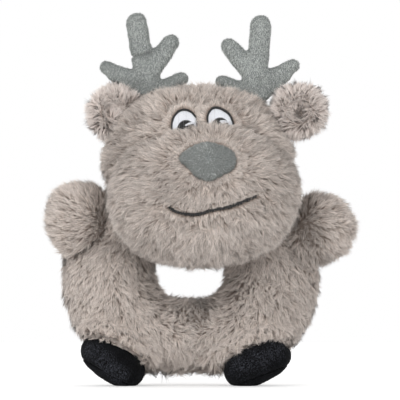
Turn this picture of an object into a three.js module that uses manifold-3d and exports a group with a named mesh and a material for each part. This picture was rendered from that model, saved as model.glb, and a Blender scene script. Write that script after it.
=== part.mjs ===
// A ring-shaped plush reindeer: a long-pile ring body with a hole for a hand or a jaw, a large head sewn
// onto the top of the ring, cupped ears, flat stuffed antlers, stub arms, two velvet hooves that it
// stands on, and a squeaker held between the cranium and the muzzle.
// Millimetres, +Z up. The face looks along -Y, and +X is to the right of whoever faces the toy; left and
// right are named the same way. X is measured from the middle of the cranium until the last step, which
// moves the origin to the middle of the toy's footprint. Long-pile pieces are modelled where a light
// touch meets the pile, about 3 mm inside its loose tips.
// Each stuffed piece is a swelling form, and the pieces sewn onto it are cut to lie against it. Joints are
// the seams of ears, antlers and arms: each is cut clear of its neighbours over the whole swing.

import * as THREE from "three";
import { mergeVertices } from "three/addons/utils/BufferGeometryUtils.js";
import Module from "manifold-3d";

const wasm = await Module();
wasm.setup();

// Clearances and cutting allowances
const SEAM_GAP = 0.3; // between two sewn pieces
const SWING_CLEARANCE = 0.4; // between a limb and its neighbours at any angle
const CUT_OVERRUN = 40; // how far cutting bodies pass what they cut

// Ring body
const RING_SHIFT_X = -5.5; // the ring hangs a little to the left of the cranium
const RING_UNDERSIDE = 10.5; // height of the ring above the ground
const RING_HALF_WIDTH = 95;
const RING_HALF_HEIGHT = 75.5;
const RING_HALF_DEPTH = 31; // front to back, at the sides
const RING_TOP_BOXINESS = 2.1; // the shoulders are round
const RING_BOTTOM_BOXINESS = 2.75; // the hips are full
const HOLE_HALF_WIDTH = 28;
const HOLE_HALF_HEIGHT = 27;
const HOLE_SHIFT_X = -0.5;
const HOLE_RISE = 4;
const HOLE_BOXINESS = 2.8;
// Shares of the depth, anticlockwise from +X in eighths of a turn
const RING_DEPTH_SHARES = [1, 0.9, 0.75, 0.9, 1, 1.04, 0.94, 1.04];

// Cranium
const HEAD_RISE = 8.5; // centre above the top of the ring
const HEAD_FORWARD = 24; // centre in front of the ring's middle plane
const HEAD_HALF_WIDTH = 69.5;
const HEAD_HALF_DEPTH = 42;
const HEAD_HALF_HEIGHT = 53;
const HEAD_BOXINESS = 2.3;
const FACE_TILT = 5; // degrees anticlockwise

// Muzzle, placed from the middle of the cranium
const MUZZLE_SHIFT_X = 5;
const MUZZLE_FORWARD = 28;
const MUZZLE_DROP = 27;
const MUZZLE_HALF_WIDTH = 69;
const MUZZLE_HALF_DEPTH = 44;
const MUZZLE_HALF_HEIGHT = 50;
const MUZZLE_BOXINESS = 2.3;

// Nose, placed from the middle of the muzzle
const NOSE_SHIFT_X = 2.5;
const NOSE_RISE = 25;
const NOSE_HALF_WIDTH = 21;
const NOSE_HALF_HEIGHT = 14;
const NOSE_PROUD = 9;
const NOSE_TAPER_SHARE = 0.24;
const NOSE_BOXINESS = 2.1;

// Embroidery: fields of satin stitch in one or more layers
const THREAD_THICKNESS = 0.6;
const EYES_SHIFT_X = 3.5; // middle of the pair from the middle of the cranium
const EYES_RISE = 26.8;
const EYE_SPACING = 25.9;
const EYE_HALF_WIDTH = 10.4;
const EYE_HALF_HEIGHT = 11.6;
const EYE_OUTLINE_WIDTH = 1.4;
const EYE_LEAN = 10; // degrees anticlockwise
const PUPIL_SHIFT_X = -0.6;
const PUPIL_DROP = 2.6;
const PUPIL_HALF_WIDTH = 5.8;
const PUPIL_HALF_HEIGHT = 6.3;
const GLINT_SHIFT_X = 2.9;
const GLINT_RISE = 0.1;
const GLINT_HALF_WIDTH = 3.7;
const GLINT_HALF_HEIGHT = 1.5;
const GLINT_LEAN = 12;

// Mouth, placed from the middle of the muzzle
const MOUTH_SHIFT_X = 5.8;
const MOUTH_DROP = 4.7;
const MOUTH_HALF_WIDTH = 32.3;
const MOUTH_SAG = 8;
const MOUTH_LINE_WIDTH = 2.2;
const MOUTH_TILT = 7; // degrees anticlockwise
// Along the half width and down the sag: a longer left lip and a flatter right lip
const MOUTH_SHARES = [
  [-1, 0], [-0.87, 0.4], [-0.64, 0.82], [-0.38, 1], [-0.18, 0.93], [-0.02, 0.78],
  [0.26, 0.72], [0.5, 0.59], [0.78, 0.26], [1, 0],
];
const PHILTRUM_SHARES = [-0.03, 0.78]; // its foot, along the half width and down the sag
const PHILTRUM_HEIGHT = 5.3;
const PHILTRUM_WIDTH = 1;

// Ears: the seat is an angle round the cranium, anticlockwise from +X
const EAR_HALF_REACH = 19.5; // outwards from the head
const EAR_HALF_WIDTH = 19.5; // along the seam
const EAR_HALF_THICKNESS = 9;
const EAR_BOXINESS = 2.3;
const EAR_FORWARD = 6; // in front of the middle of the cranium
const EAR_LEFT_SEAT_ANGLE = 151;
const EAR_RIGHT_SEAT_ANGLE = 24;
const EAR_LEFT_LEAN = 148;
const EAR_RIGHT_LEAN = 32;
const EAR_LEFT_OUTSET = 5; // centre of the ear outside the cranium
const EAR_RIGHT_OUTSET = 16.5;
const EAR_CUP_HALF_WIDTH = 11;
const EAR_CUP_DEPTH = 7;
const EAR_LINING_THICKNESS = 1.2;
const EAR_SWING = 25; // degrees each way

// Antlers: seats are measured from the middle of the cranium
const ANTLER_LEFT_X = -35.2;
const ANTLER_RIGHT_X = 40.8;
const ANTLER_BACKWARD = 4; // behind the middle of the cranium
const ANTLER_LEFT_LEAN = 0; // degrees anticlockwise
const ANTLER_RIGHT_LEAN = 4.5;
const ANTLER_LEFT_HEIGHT = 63;
const ANTLER_RIGHT_HEIGHT = 60.5;
const ANTLER_RIGHT_RISE = 2.4; // it is sewn on less deep than the left one
const ANTLER_BEAM_HALF_WIDTH = 9.4;
const ANTLER_HALF_DEPTH = 6.5; // where the beam is widest
const ANTLER_SWING = 25; // degrees each way
// Each tine: outwards and upwards as shares of the height, then half width as a share of the beam's
const TINE_SHARES = [
  [[-0.02, -0.13, 0.76], [0.02, 0.14, 1], [0.09, 0.41, 0.96], [0.13, 0.59, 0.84], [0.175, 0.87, 0.86]],
  [[0.01, 0.29, 0.8], [-0.12, 0.48, 0.8], [-0.235, 0.64, 0.68]],
  [[-0.05, 0.05, 0.7], [-0.225, 0.14, 0.6], [-0.365, 0.21, 0.54]],
  [[0.04, 0.17, 0.8], [0.295, 0.25, 0.56], [0.533, 0.34, 0.56]],
];

// Arms: the seat is an angle round the ring, anticlockwise from +X
const ARM_LEFT_SEAT_ANGLE = 151;
const ARM_RIGHT_SEAT_ANGLE = 21.5;
const ARM_LEFT_OUTSET = -3.5; // centre of the arm outside the ring
const ARM_RIGHT_OUTSET = 3;
const ARM_LEFT_LEAN = 98;
const ARM_RIGHT_LEAN = 38;
const ARM_HALF_LENGTH = 29;
const ARM_HALF_WIDTH = 23.5;
const ARM_HALF_DEPTH = 22;
const ARM_TAPER_SHARE = 0.12;
const ARM_BOXINESS = 2.2;
const ARM_FORWARD = 16;
const ARM_HINGE_FORWARD = 26; // seam line in front of the ring's middle plane
const ARM_HINGE_DROP = 12; // seam line inwards from the middle of the arm
const ARM_SWING_BACK = 5; // degrees
const ARM_SWING_FORWARD = 30; // degrees

// Hooves, placed from the middle of the ring
const HOOF_LEFT_SHARE = -0.618; // sideways, as a share of the ring's half width
const HOOF_RIGHT_SHARE = 0.526;
const HOOF_FORWARD = 21; // under the toy's centre of mass
const HOOF_HALF_LENGTH = 26;
const HOOF_HALF_HEIGHT = 15.2;
const HOOF_HALF_DEPTH = 29;
const HOOF_LEFT_SLANT = -34; // degrees anticlockwise
const HOOF_RIGHT_SLANT = 25;
const HOOF_BOXINESS = 2.4;
const SOLE_THICKNESS = 6;
const SOLE_SLANT_SHARE = 0.85; // the sole's seam slants less than the hoof
const SOLE_FLAT_DEPTH = 1.7; // how far the sole is pressed flat

// Squeaker, behind the nose where cranium and muzzle meet
const SQUEAKER_SHIFT_X = 4; // from the middle of the cranium
const SQUEAKER_DROP = 20;
const SQUEAKER_RADIUS = 19;
const SQUEAKER_HALF_THICKNESS = 9;
const SQUEAKER_WALL = 1.2;
const SQUEAKER_NECK_RADIUS = 5.5;
const SQUEAKER_NECK_LENGTH = 4;
const VALVE_FLANGE_THICKNESS = 1.2;
const VALVE_BORE_RADIUS = 1.5;

// Facet counts
const RING_FACETS = [40, 16]; // round the ring, round the tube
const HEAD_FACETS = [32, 18]; // round, top to bottom
const LIMB_FACETS = [20, 12];
const CUP_FACETS = [12, 8];
const TINE_FACETS = [10, 3, 5]; // round, each end, along
const OUTLINE_FACETS = 20;
const BULB_FACETS = [20, 7]; // round, front to neck
const SWING_STEPS = 4;

// Finishes from the photograph
const LONG_PILE = { color: 0xa99c93, roughness: 0.95, metalness: 0 };
const LINING_PILE = { color: 0x8d8078, roughness: 0.95, metalness: 0 };
const SHORT_PILE = { color: 0x868c87, roughness: 0.9, metalness: 0 };
const BLACK_VELVET = { color: 0x191b1d, roughness: 0.8, metalness: 0 };
const WHITE_THREAD = { color: 0xe6e8ee, roughness: 0.55, metalness: 0 };
const BLACK_THREAD = { color: 0x232223, roughness: 0.5, metalness: 0 };
const SQUEAKER_PLASTIC = { color: 0xe3ded0, roughness: 0.45, metalness: 0 };
const VALVE_PLASTIC = { color: 0xf2f2ee, roughness: 0.4, metalness: 0 };

const toy = new THREE.Group();
const radians = THREE.MathUtils.degToRad;
const vector = (...place) => new THREE.Vector3(...place);
const RIGHT = vector(1, 0, 0);
const FORWARD = vector(0, -1, 0);
const UP = vector(0, 0, 1);

// Closed solids from three.js geometry, and back to a mesh
function solid(geometry) {
  const bare = geometry.clone();
  bare.deleteAttribute("normal");
  bare.deleteAttribute("uv");
  const merged = mergeVertices(bare);
  return new wasm.Manifold(new wasm.Mesh({
    numProp: 3,
    vertProperties: new Float32Array(merged.attributes.position.array),
    triVerts: new Uint32Array(merged.index.array),
  }));
}

function addPiece(name, shape, finish) {
  const { vertProperties, triVerts } = shape.getMesh();
  const geometry = new THREE.BufferGeometry();
  geometry.setAttribute("position", new THREE.BufferAttribute(new Float32Array(vertProperties), 3));
  geometry.setIndex(new THREE.BufferAttribute(new Uint32Array(triVerts), 1));
  geometry.computeVertexNormals();
  const piece = new THREE.Mesh(geometry, new THREE.MeshStandardMaterial(finish));
  piece.name = name;
  toy.add(piece);
}

function reshape(geometry, move) {
  const points = geometry.attributes.position;
  const point = vector();
  for (let i = 0; i < points.count; i += 1) {
    const moved = move(point.fromBufferAttribute(points, i));
    points.setXYZ(i, moved.x, moved.y, moved.z);
  }
  return geometry;
}

// A stuffed form: a sphere squared off by its boxiness, narrowed downwards by its taper, scaled to its
// half sizes, pitched back about X, turned anticlockwise as seen from the front and put in place.
function stuffedForm({ centre, half, boxiness, taperShare = 0, pitch = 0, turn = 0, facets }, grow = 0) {
  const [columns, rows] = facets;
  const sphere = new THREE.SphereGeometry(1, columns, rows).rotateX(Math.PI / 2);
  const placing = new THREE.Matrix4()
    .makeTranslation(centre)
    .multiply(new THREE.Matrix4().makeRotationY(-turn))
    .multiply(new THREE.Matrix4().makeRotationX(pitch));
  return reshape(sphere, (p) => {
    const size = Math.abs(p.x) ** boxiness + Math.abs(p.y) ** boxiness + Math.abs(p.z) ** boxiness;
    p.multiplyScalar(size ** (-1 / boxiness));
    const narrowing = 1 + taperShare * p.z;
    p.x *= narrowing * (half.x + grow);
    p.y *= narrowing * (half.y + grow);
    p.z *= half.z + grow;
    return p.applyMatrix4(placing);
  });
}

// A share from a table of shares round a full turn, smoothly joined
function shareRound(shares, turn) {
  const place = (turn / (2 * Math.PI) + 1) * shares.length;
  const start = Math.floor(place);
  const [a, b, c, d] = [-1, 0, 1, 2].map((step) => shares[(start + step) % shares.length]);
  const f = place - start;
  return b + 0.5 * f * (c - a + f * (2 * a - 5 * b + 4 * c - d + f * (3 * (b - c) + d - a)));
}

// The ring: a stuffed tube between a boxy outer outline and the outline of the hole
const ringCentre = vector(RING_SHIFT_X, 0, RING_UNDERSIDE + RING_HALF_HEIGHT);
const holeCentre = ringCentre.clone().add(vector(HOLE_SHIFT_X, 0, HOLE_RISE));

function boxyOutline(centre, angle, halfWidth, halfHeight, boxiness) {
  const x = Math.cos(angle);
  const z = Math.sin(angle);
  const size = (Math.abs(x) ** boxiness + Math.abs(z) ** boxiness) ** (1 / boxiness);
  return centre.clone().add(vector((halfWidth * x) / size, 0, (halfHeight * z) / size));
}

function ringOuterPoint(angle, grow = 0) {
  const low = (1 - Math.sin(angle)) / 2;
  const boxiness = THREE.MathUtils.lerp(RING_TOP_BOXINESS, RING_BOTTOM_BOXINESS, low);
  return boxyOutline(ringCentre, angle, RING_HALF_WIDTH + grow, RING_HALF_HEIGHT + grow, boxiness);
}

function ringInnerPoint(angle, grow = 0) {
  return boxyOutline(holeCentre, angle, HOLE_HALF_WIDTH - grow, HOLE_HALF_HEIGHT - grow, HOLE_BOXINESS);
}

function ringForm(grow = 0) {
  const [aroundRing, aroundTube] = RING_FACETS;
  const hub = 2; // any radius over the unit tube's
  return reshape(new THREE.TorusGeometry(hub, 1, aroundTube, aroundRing), (p) => {
    const angle = Math.atan2(p.y, p.x);
    const across = (Math.hypot(p.x, p.y) - hub + 1) / 2; // 0 at the hole, 1 outside
    const halfDepth = RING_HALF_DEPTH * shareRound(RING_DEPTH_SHARES, angle) + grow;
    const placed = ringInnerPoint(angle, grow).lerp(ringOuterPoint(angle, grow), across);
    return placed.setY(ringCentre.y - p.z * halfDepth);
  });
}

// Where a straight line from outside first meets a form
function meet(geometry, from, direction) {
  const target = new THREE.Mesh(geometry, new THREE.MeshBasicMaterial());
  return new THREE.Raycaster(from, direction).intersectObject(target)[0].point;
}

// A flat outline in X and Z, pushed through the face from far in front to the cranium's middle plane
function facePrism(outline) {
  const depth = headCentre.y - far;
  const prism = new THREE.ExtrudeGeometry(outline, { depth, bevelEnabled: false });
  return solid(prism.rotateX(Math.PI / 2).translate(0, headCentre.y, 0));
}

function ovalOutline(x, z, halfWidth, halfHeight, lean) {
  const oval = new THREE.EllipseCurve(x, z, halfWidth, halfHeight, 0, 2 * Math.PI, false, radians(lean));
  return new THREE.Shape(oval.getPoints(OUTLINE_FACETS).slice(1));
}

// A layer of stitches on a form, layer 0 lying on its surface
function stitchedLayer(form, layer) {
  const underside = SEAM_GAP + layer * (THREAD_THICKNESS + SEAM_GAP);
  const below = solid(stuffedForm(form, underside));
  return solid(stuffedForm(form, underside + THREAD_THICKNESS)).subtract(below);
}

// A limb cut clear of its neighbours at every step of its swing about a seam
function cutForSwing(limb, neighbours, hinge, axis, from, to) {
  let cut = limb;
  for (let step = 0; step <= SWING_STEPS; step += 1) {
    const angle = -radians(from + ((to - from) * step) / SWING_STEPS);
    const swing = new THREE.Matrix4()
      .makeTranslation(hinge)
      .multiply(new THREE.Matrix4().makeRotationAxis(axis, angle))
      .multiply(new THREE.Matrix4().makeTranslation(hinge.clone().negate()));
    for (const neighbour of neighbours) {
      cut = cut.subtract(solid(neighbour.clone().applyMatrix4(swing)));
    }
  }
  return cut;
}

// Places and forms of the big pieces
const headCentre = vector(0, -HEAD_FORWARD, ringCentre.z + RING_HALF_HEIGHT + HEAD_RISE);
const head = {
  centre: headCentre,
  half: vector(HEAD_HALF_WIDTH, HEAD_HALF_DEPTH, HEAD_HALF_HEIGHT),
  boxiness: HEAD_BOXINESS,
  facets: HEAD_FACETS,
};
const muzzleCentre = headCentre.clone().add(vector(MUZZLE_SHIFT_X, -MUZZLE_FORWARD, -MUZZLE_DROP));
const muzzle = {
  centre: muzzleCentre,
  half: vector(MUZZLE_HALF_WIDTH, MUZZLE_HALF_DEPTH, MUZZLE_HALF_HEIGHT),
  boxiness: MUZZLE_BOXINESS,
  turn: radians(FACE_TILT),
  facets: HEAD_FACETS,
};
const far = muzzleCentre.y - MUZZLE_HALF_DEPTH - CUT_OVERRUN;
const faceFrom = (x, z) => vector(x, far, z);
const BACKWARD = FORWARD.clone().negate();

// Squeaker: a lens-shaped bulb with a neck at the back, and a flanged reed valve in the neck
const squeakerX = headCentre.x + SQUEAKER_SHIFT_X;
const squeakerZ = headCentre.z - SQUEAKER_DROP;
const squeakerCentre = meet(stuffedForm(head), faceFrom(squeakerX, squeakerZ), BACKWARD);
const neckInnerRadius = SQUEAKER_NECK_RADIUS - SQUEAKER_WALL;
const neckTop = SQUEAKER_HALF_THICKNESS + SQUEAKER_NECK_LENGTH;
const flangeTop = neckTop + SEAM_GAP + VALVE_FLANGE_THICKNESS;

// Half an oval section from the axis at the front round to the neck
const [bulbRound, bulbAlong] = BULB_FACETS;
function bulbProfile(radius, halfThickness, neckRadius) {
  const points = [];
  const end = Math.acos(neckRadius / radius);
  for (let i = 0; i <= bulbAlong; i += 1) {
    const angle = -Math.PI / 2 + ((end + Math.PI / 2) * i) / bulbAlong;
    points.push(new THREE.Vector2(radius * Math.cos(angle), halfThickness * Math.sin(angle)));
  }
  points[0].x = 0;
  return points;
}

function lathed(profile) {
  return solid(new THREE.LatheGeometry(profile, bulbRound).translate(...squeakerCentre));
}

const flat = (x, y) => new THREE.Vector2(x, y);
const bulbOutside = bulbProfile(SQUEAKER_RADIUS, SQUEAKER_HALF_THICKNESS, SQUEAKER_NECK_RADIUS);
const bulbInside = bulbProfile(
  SQUEAKER_RADIUS - SQUEAKER_WALL,
  SQUEAKER_HALF_THICKNESS - SQUEAKER_WALL,
  neckInnerRadius,
);
const bulb = lathed([
  ...bulbOutside,
  flat(SQUEAKER_NECK_RADIUS, neckTop),
  flat(neckInnerRadius, neckTop),
  ...bulbInside.reverse(),
]);
const plugRadius = neckInnerRadius - SEAM_GAP;
const valve = lathed([
  flat(VALVE_BORE_RADIUS, SQUEAKER_HALF_THICKNESS),
  flat(plugRadius, SQUEAKER_HALF_THICKNESS),
  flat(plugRadius, neckTop + SEAM_GAP),
  flat(SQUEAKER_NECK_RADIUS, neckTop + SEAM_GAP),
  flat(SQUEAKER_NECK_RADIUS, flangeTop),
  flat(VALVE_BORE_RADIUS, flangeTop),
  flat(VALVE_BORE_RADIUS, SQUEAKER_HALF_THICKNESS),
]);
const pocketNeckRadius = SQUEAKER_NECK_RADIUS + SEAM_GAP;
const pocket = lathed([
  ...bulbProfile(SQUEAKER_RADIUS + SEAM_GAP, SQUEAKER_HALF_THICKNESS + SEAM_GAP, pocketNeckRadius),
  flat(pocketNeckRadius, flangeTop + SEAM_GAP),
  flat(0, flangeTop + SEAM_GAP),
]);

// Body, cranium and muzzle
const grownRing = solid(ringForm(SEAM_GAP));
addPiece("ring_body", solid(ringForm()), LONG_PILE);
const cranium = solid(stuffedForm(head)).subtract(grownRing).subtract(pocket);
addPiece("head", cranium, LONG_PILE);
const grownHead = solid(stuffedForm(head, SEAM_GAP));
const snout = solid(stuffedForm(muzzle)).subtract(grownRing).subtract(grownHead).subtract(pocket);
addPiece("muzzle", snout, LONG_PILE);
addPiece("squeaker_bulb", bulb, SQUEAKER_PLASTIC);
addPiece("squeaker_valve", valve, VALVE_PLASTIC);

// Nose: a tapered button that lies square on the muzzle's slope
const noseX = muzzleCentre.x + NOSE_SHIFT_X;
const noseZ = muzzleCentre.z + NOSE_RISE;
const muzzleSkin = stuffedForm(muzzle);
const noseSeat = meet(muzzleSkin, faceFrom(noseX, noseZ), BACKWARD);
const noseBrow = meet(muzzleSkin, faceFrom(noseX, noseZ + NOSE_HALF_HEIGHT / 2), BACKWARD);
const nose = {
  centre: noseSeat,
  half: vector(NOSE_HALF_WIDTH, NOSE_PROUD, NOSE_HALF_HEIGHT),
  boxiness: NOSE_BOXINESS,
  taperShare: NOSE_TAPER_SHARE,
  pitch: -Math.atan2(noseBrow.y - noseSeat.y, noseBrow.z - noseSeat.z),
  turn: radians(FACE_TILT),
  facets: LIMB_FACETS,
};
const grownMuzzle = solid(stuffedForm(muzzle, SEAM_GAP));
addPiece("nose", solid(stuffedForm(nose)).subtract(grownMuzzle), SHORT_PILE);

// Eyes: white field and outline on the cranium, pupil over the white, glint over the pupil
const eyeLayers = [0, 1, 2].map((layer) => stitchedLayer(head, layer));
for (const [side, sign] of [["left", -1], ["right", 1]]) {
  const reach = (sign * EYE_SPACING) / 2;
  const x = headCentre.x + EYES_SHIFT_X + reach * Math.cos(radians(FACE_TILT));
  const z = headCentre.z + EYES_RISE + reach * Math.sin(radians(FACE_TILT));
  const oval = (inside) => facePrism(ovalOutline(
    x, z, EYE_HALF_WIDTH - inside, EYE_HALF_HEIGHT - inside, EYE_LEAN,
  ));
  const pupil = facePrism(ovalOutline(
    x + PUPIL_SHIFT_X, z - PUPIL_DROP, PUPIL_HALF_WIDTH, PUPIL_HALF_HEIGHT, EYE_LEAN,
  ));
  const glint = facePrism(ovalOutline(
    x + GLINT_SHIFT_X, z + GLINT_RISE, GLINT_HALF_WIDTH, GLINT_HALF_HEIGHT, GLINT_LEAN,
  ));
  const stitched = (shape, layer) => shape.intersect(eyeLayers[layer]).subtract(grownMuzzle);
  addPiece(`eye_white_${side}`, stitched(oval(EYE_OUTLINE_WIDTH + SEAM_GAP), 0), WHITE_THREAD);
  addPiece(`eye_outline_${side}`, stitched(oval(0).subtract(oval(EYE_OUTLINE_WIDTH)), 0), BLACK_THREAD);
  addPiece(`pupil_${side}`, stitched(pupil, 1), BLACK_THREAD);
  addPiece(`eye_glint_${side}`, stitched(glint, 2), WHITE_THREAD);
}

// Mouth: a satin-stitched line of even width, with a short thin line standing on it
const mouthTurn = radians(MOUTH_TILT);
const mouthCentre = new THREE.Vector2(muzzleCentre.x + MOUTH_SHIFT_X, muzzleCentre.z - MOUTH_DROP);
function mouthPlace(alongShare, sagShare, above = 0) {
  return new THREE.Vector2(alongShare * MOUTH_HALF_WIDTH, above - sagShare * MOUTH_SAG)
    .rotateAround(new THREE.Vector2(), mouthTurn)
    .add(mouthCentre);
}

function lineOutline(curve, steps, width) {
  const upper = [];
  const lower = [];
  for (let i = 0; i <= steps; i += 1) {
    const along = curve.getTangentAt(i / steps);
    const across = new THREE.Vector2(-along.y, along.x).multiplyScalar(width / 2);
    const middle = curve.getPointAt(i / steps);
    upper.push(middle.clone().add(across));
    lower.unshift(middle.clone().sub(across));
  }
  return new THREE.Shape([...lower, ...upper]);
}

const mouthCurve = new THREE.SplineCurve(MOUTH_SHARES.map((shares) => mouthPlace(...shares)));
const mouthLayer = stitchedLayer(muzzle, 0);
const mouthPrism = facePrism(lineOutline(mouthCurve, OUTLINE_FACETS, MOUTH_LINE_WIDTH));
addPiece("mouth_stitch", mouthPrism.intersect(mouthLayer), BLACK_THREAD);
const philtrumFoot = MOUTH_LINE_WIDTH / 2 + 2 * SEAM_GAP;
const philtrumCurve = new THREE.LineCurve(
  mouthPlace(...PHILTRUM_SHARES, philtrumFoot),
  mouthPlace(...PHILTRUM_SHARES, philtrumFoot + PHILTRUM_HEIGHT),
);
const philtrumPrism = facePrism(lineOutline(philtrumCurve, 1, PHILTRUM_WIDTH));
addPiece("philtrum_stitch", philtrumPrism.intersect(mouthLayer), BLACK_THREAD);

// Forms that swinging limbs are cut clear of
const clearHead = stuffedForm(head, SWING_CLEARANCE);
const clearMuzzle = stuffedForm(muzzle, SWING_CLEARANCE);
const clearRing = ringForm(SWING_CLEARANCE);
const hinges = {};

// Ears: a thick oval with a hollow in its front, and a lining that follows the hollow
const ears = [
  ["left", EAR_LEFT_SEAT_ANGLE, EAR_LEFT_LEAN, EAR_LEFT_OUTSET],
  ["right", EAR_RIGHT_SEAT_ANGLE, EAR_RIGHT_LEAN, EAR_RIGHT_OUTSET],
];
for (const [side, seatAngle, lean, outset] of ears) {
  const seatTurn = radians(seatAngle);
  const outwards = vector(Math.cos(seatTurn), 0, Math.sin(seatTurn));
  const earY = headCentre.y - EAR_FORWARD;
  const outside = vector(headCentre.x, earY, headCentre.z)
    .addScaledVector(outwards, HEAD_HALF_WIDTH + HEAD_HALF_HEIGHT);
  const seam = meet(stuffedForm(head), outside, outwards.clone().negate());
  const leanTurn = radians(lean);
  const reach = vector(Math.cos(leanTurn), 0, Math.sin(leanTurn));
  const centre = seam.clone().addScaledVector(reach, outset);
  const form = {
    centre,
    half: vector(EAR_HALF_REACH, EAR_HALF_THICKNESS, EAR_HALF_WIDTH),
    boxiness: EAR_BOXINESS,
    turn: leanTurn,
    facets: LIMB_FACETS,
  };
  const cup = {
    ...form,
    centre: centre.clone().addScaledVector(FORWARD, EAR_HALF_THICKNESS),
    half: vector(EAR_CUP_HALF_WIDTH, EAR_CUP_DEPTH, EAR_CUP_HALF_WIDTH),
    facets: CUP_FACETS,
  };
  const axis = vector(-Math.sin(leanTurn), 0, Math.cos(leanTurn));
  hinges[`ear_${side}`] = { seam, axis };
  const neighbours = [clearHead, clearMuzzle];
  const whole = cutForSwing(solid(stuffedForm(form)), neighbours, seam, axis, -EAR_SWING, EAR_SWING);
  addPiece(`ear_${side}`, whole.subtract(solid(stuffedForm(cup))), LONG_PILE);
  const lining = solid(stuffedForm(cup, -SEAM_GAP))
    .subtract(solid(stuffedForm(cup, -SEAM_GAP - EAR_LINING_THICKNESS)))
    .intersect(whole);
  addPiece(`ear_lining_${side}`, lining, LINING_PILE);
}

// Antlers: four flattened round-ended tines joined into one stuffed piece.
// A tine's path keeps its half width in the curve's second coordinate.
function tine(shares, sign, lean, height, foot) {
  const [around, ends, along] = TINE_FACETS;
  const turn = radians(lean);
  const path = new THREE.CatmullRomCurve3(shares.map(([out, up, widthShare]) => vector(
    sign * out * height,
    widthShare * ANTLER_BEAM_HALF_WIDTH,
    up * height,
  )));
  const capsule = new THREE.CapsuleGeometry(1, along, ends, around, along);
  const flattening = ANTLER_HALF_DEPTH / ANTLER_BEAM_HALF_WIDTH;
  return solid(reshape(capsule, (p) => {
    const onPath = THREE.MathUtils.clamp(p.y / along + 0.5, 0, 1);
    const beyondEnd = p.y - (onPath - 0.5) * along;
    const middle = path.getPoint(onPath);
    const halfWidth = middle.y;
    const heading = path.getTangent(onPath).setY(0).normalize();
    const across = vector(-heading.z, 0, heading.x);
    return middle.setY(p.z * halfWidth * flattening)
      .addScaledVector(heading, beyondEnd * halfWidth)
      .addScaledVector(across, p.x * halfWidth)
      .applyAxisAngle(FORWARD, turn)
      .add(foot);
  }));
}

const antlers = [
  ["left", -1, ANTLER_LEFT_X, ANTLER_LEFT_LEAN, ANTLER_LEFT_HEIGHT, 0],
  ["right", 1, ANTLER_RIGHT_X, ANTLER_RIGHT_LEAN, ANTLER_RIGHT_HEIGHT, ANTLER_RIGHT_RISE],
];
for (const [side, sign, x, lean, height, rise] of antlers) {
  const above = headCentre.clone().add(vector(x, ANTLER_BACKWARD, HEAD_HALF_HEIGHT + CUT_OVERRUN));
  const foot = meet(stuffedForm(head), above, UP.clone().negate());
  const raised = foot.clone().addScaledVector(UP, rise);
  const whole = TINE_SHARES
    .map((shares) => tine(shares, sign, lean, height, raised))
    .reduce((joined, next) => joined.add(next));
  const axis = RIGHT.clone();
  hinges[`antler_${side}`] = { seam: foot, axis };
  const antler = cutForSwing(whole, [clearHead], foot, axis, -ANTLER_SWING, ANTLER_SWING);
  addPiece(`antler_${side}`, antler, SHORT_PILE);
}

// Arms: stub lobes on the ring's shoulders, behind the jowls, that fold forward about the front of
// their seams
const arms = [
  ["left", ARM_LEFT_SEAT_ANGLE, ARM_LEFT_LEAN, ARM_LEFT_OUTSET],
  ["right", ARM_RIGHT_SEAT_ANGLE, ARM_RIGHT_LEAN, ARM_RIGHT_OUTSET],
];
for (const [side, seatAngle, lean, outset] of arms) {
  const leanTurn = radians(lean);
  const reach = vector(Math.cos(leanTurn), 0, Math.sin(leanTurn));
  const seatTurn = radians(seatAngle);
  const outwards = vector(Math.cos(seatTurn), 0, Math.sin(seatTurn));
  const centre = ringOuterPoint(seatTurn)
    .addScaledVector(FORWARD, ARM_FORWARD)
    .addScaledVector(outwards, outset);
  const form = {
    centre,
    half: vector(ARM_HALF_WIDTH, ARM_HALF_DEPTH, ARM_HALF_LENGTH),
    boxiness: ARM_BOXINESS,
    taperShare: ARM_TAPER_SHARE,
    turn: leanTurn - Math.PI / 2,
    facets: LIMB_FACETS,
  };
  const seam = centre.clone().addScaledVector(reach, -ARM_HINGE_DROP).setY(-ARM_HINGE_FORWARD);
  const axis = vector(Math.sin(leanTurn), 0, -Math.cos(leanTurn));
  hinges[`arm_${side}`] = { seam, axis };
  const neighbours = [clearRing, clearHead, clearMuzzle];
  const stub = solid(stuffedForm(form));
  const arm = cutForSwing(stub, neighbours, seam, axis, -ARM_SWING_BACK, ARM_SWING_FORWARD);
  addPiece(`arm_${side}`, arm, LONG_PILE);
}

// Hooves: a slanted form pressed flat on the ground, parted by a flat seam into upper and sole
const groundSize = 2 * (HOOF_HALF_LENGTH + HOOF_HALF_DEPTH + CUT_OVERRUN);
function halfSpaceBelow(point, turn) {
  const block = new THREE.BoxGeometry(groundSize, groundSize, groundSize);
  return solid(block
    .translate(0, 0, -groundSize / 2)
    .rotateY(-turn)
    .translate(...point));
}

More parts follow.
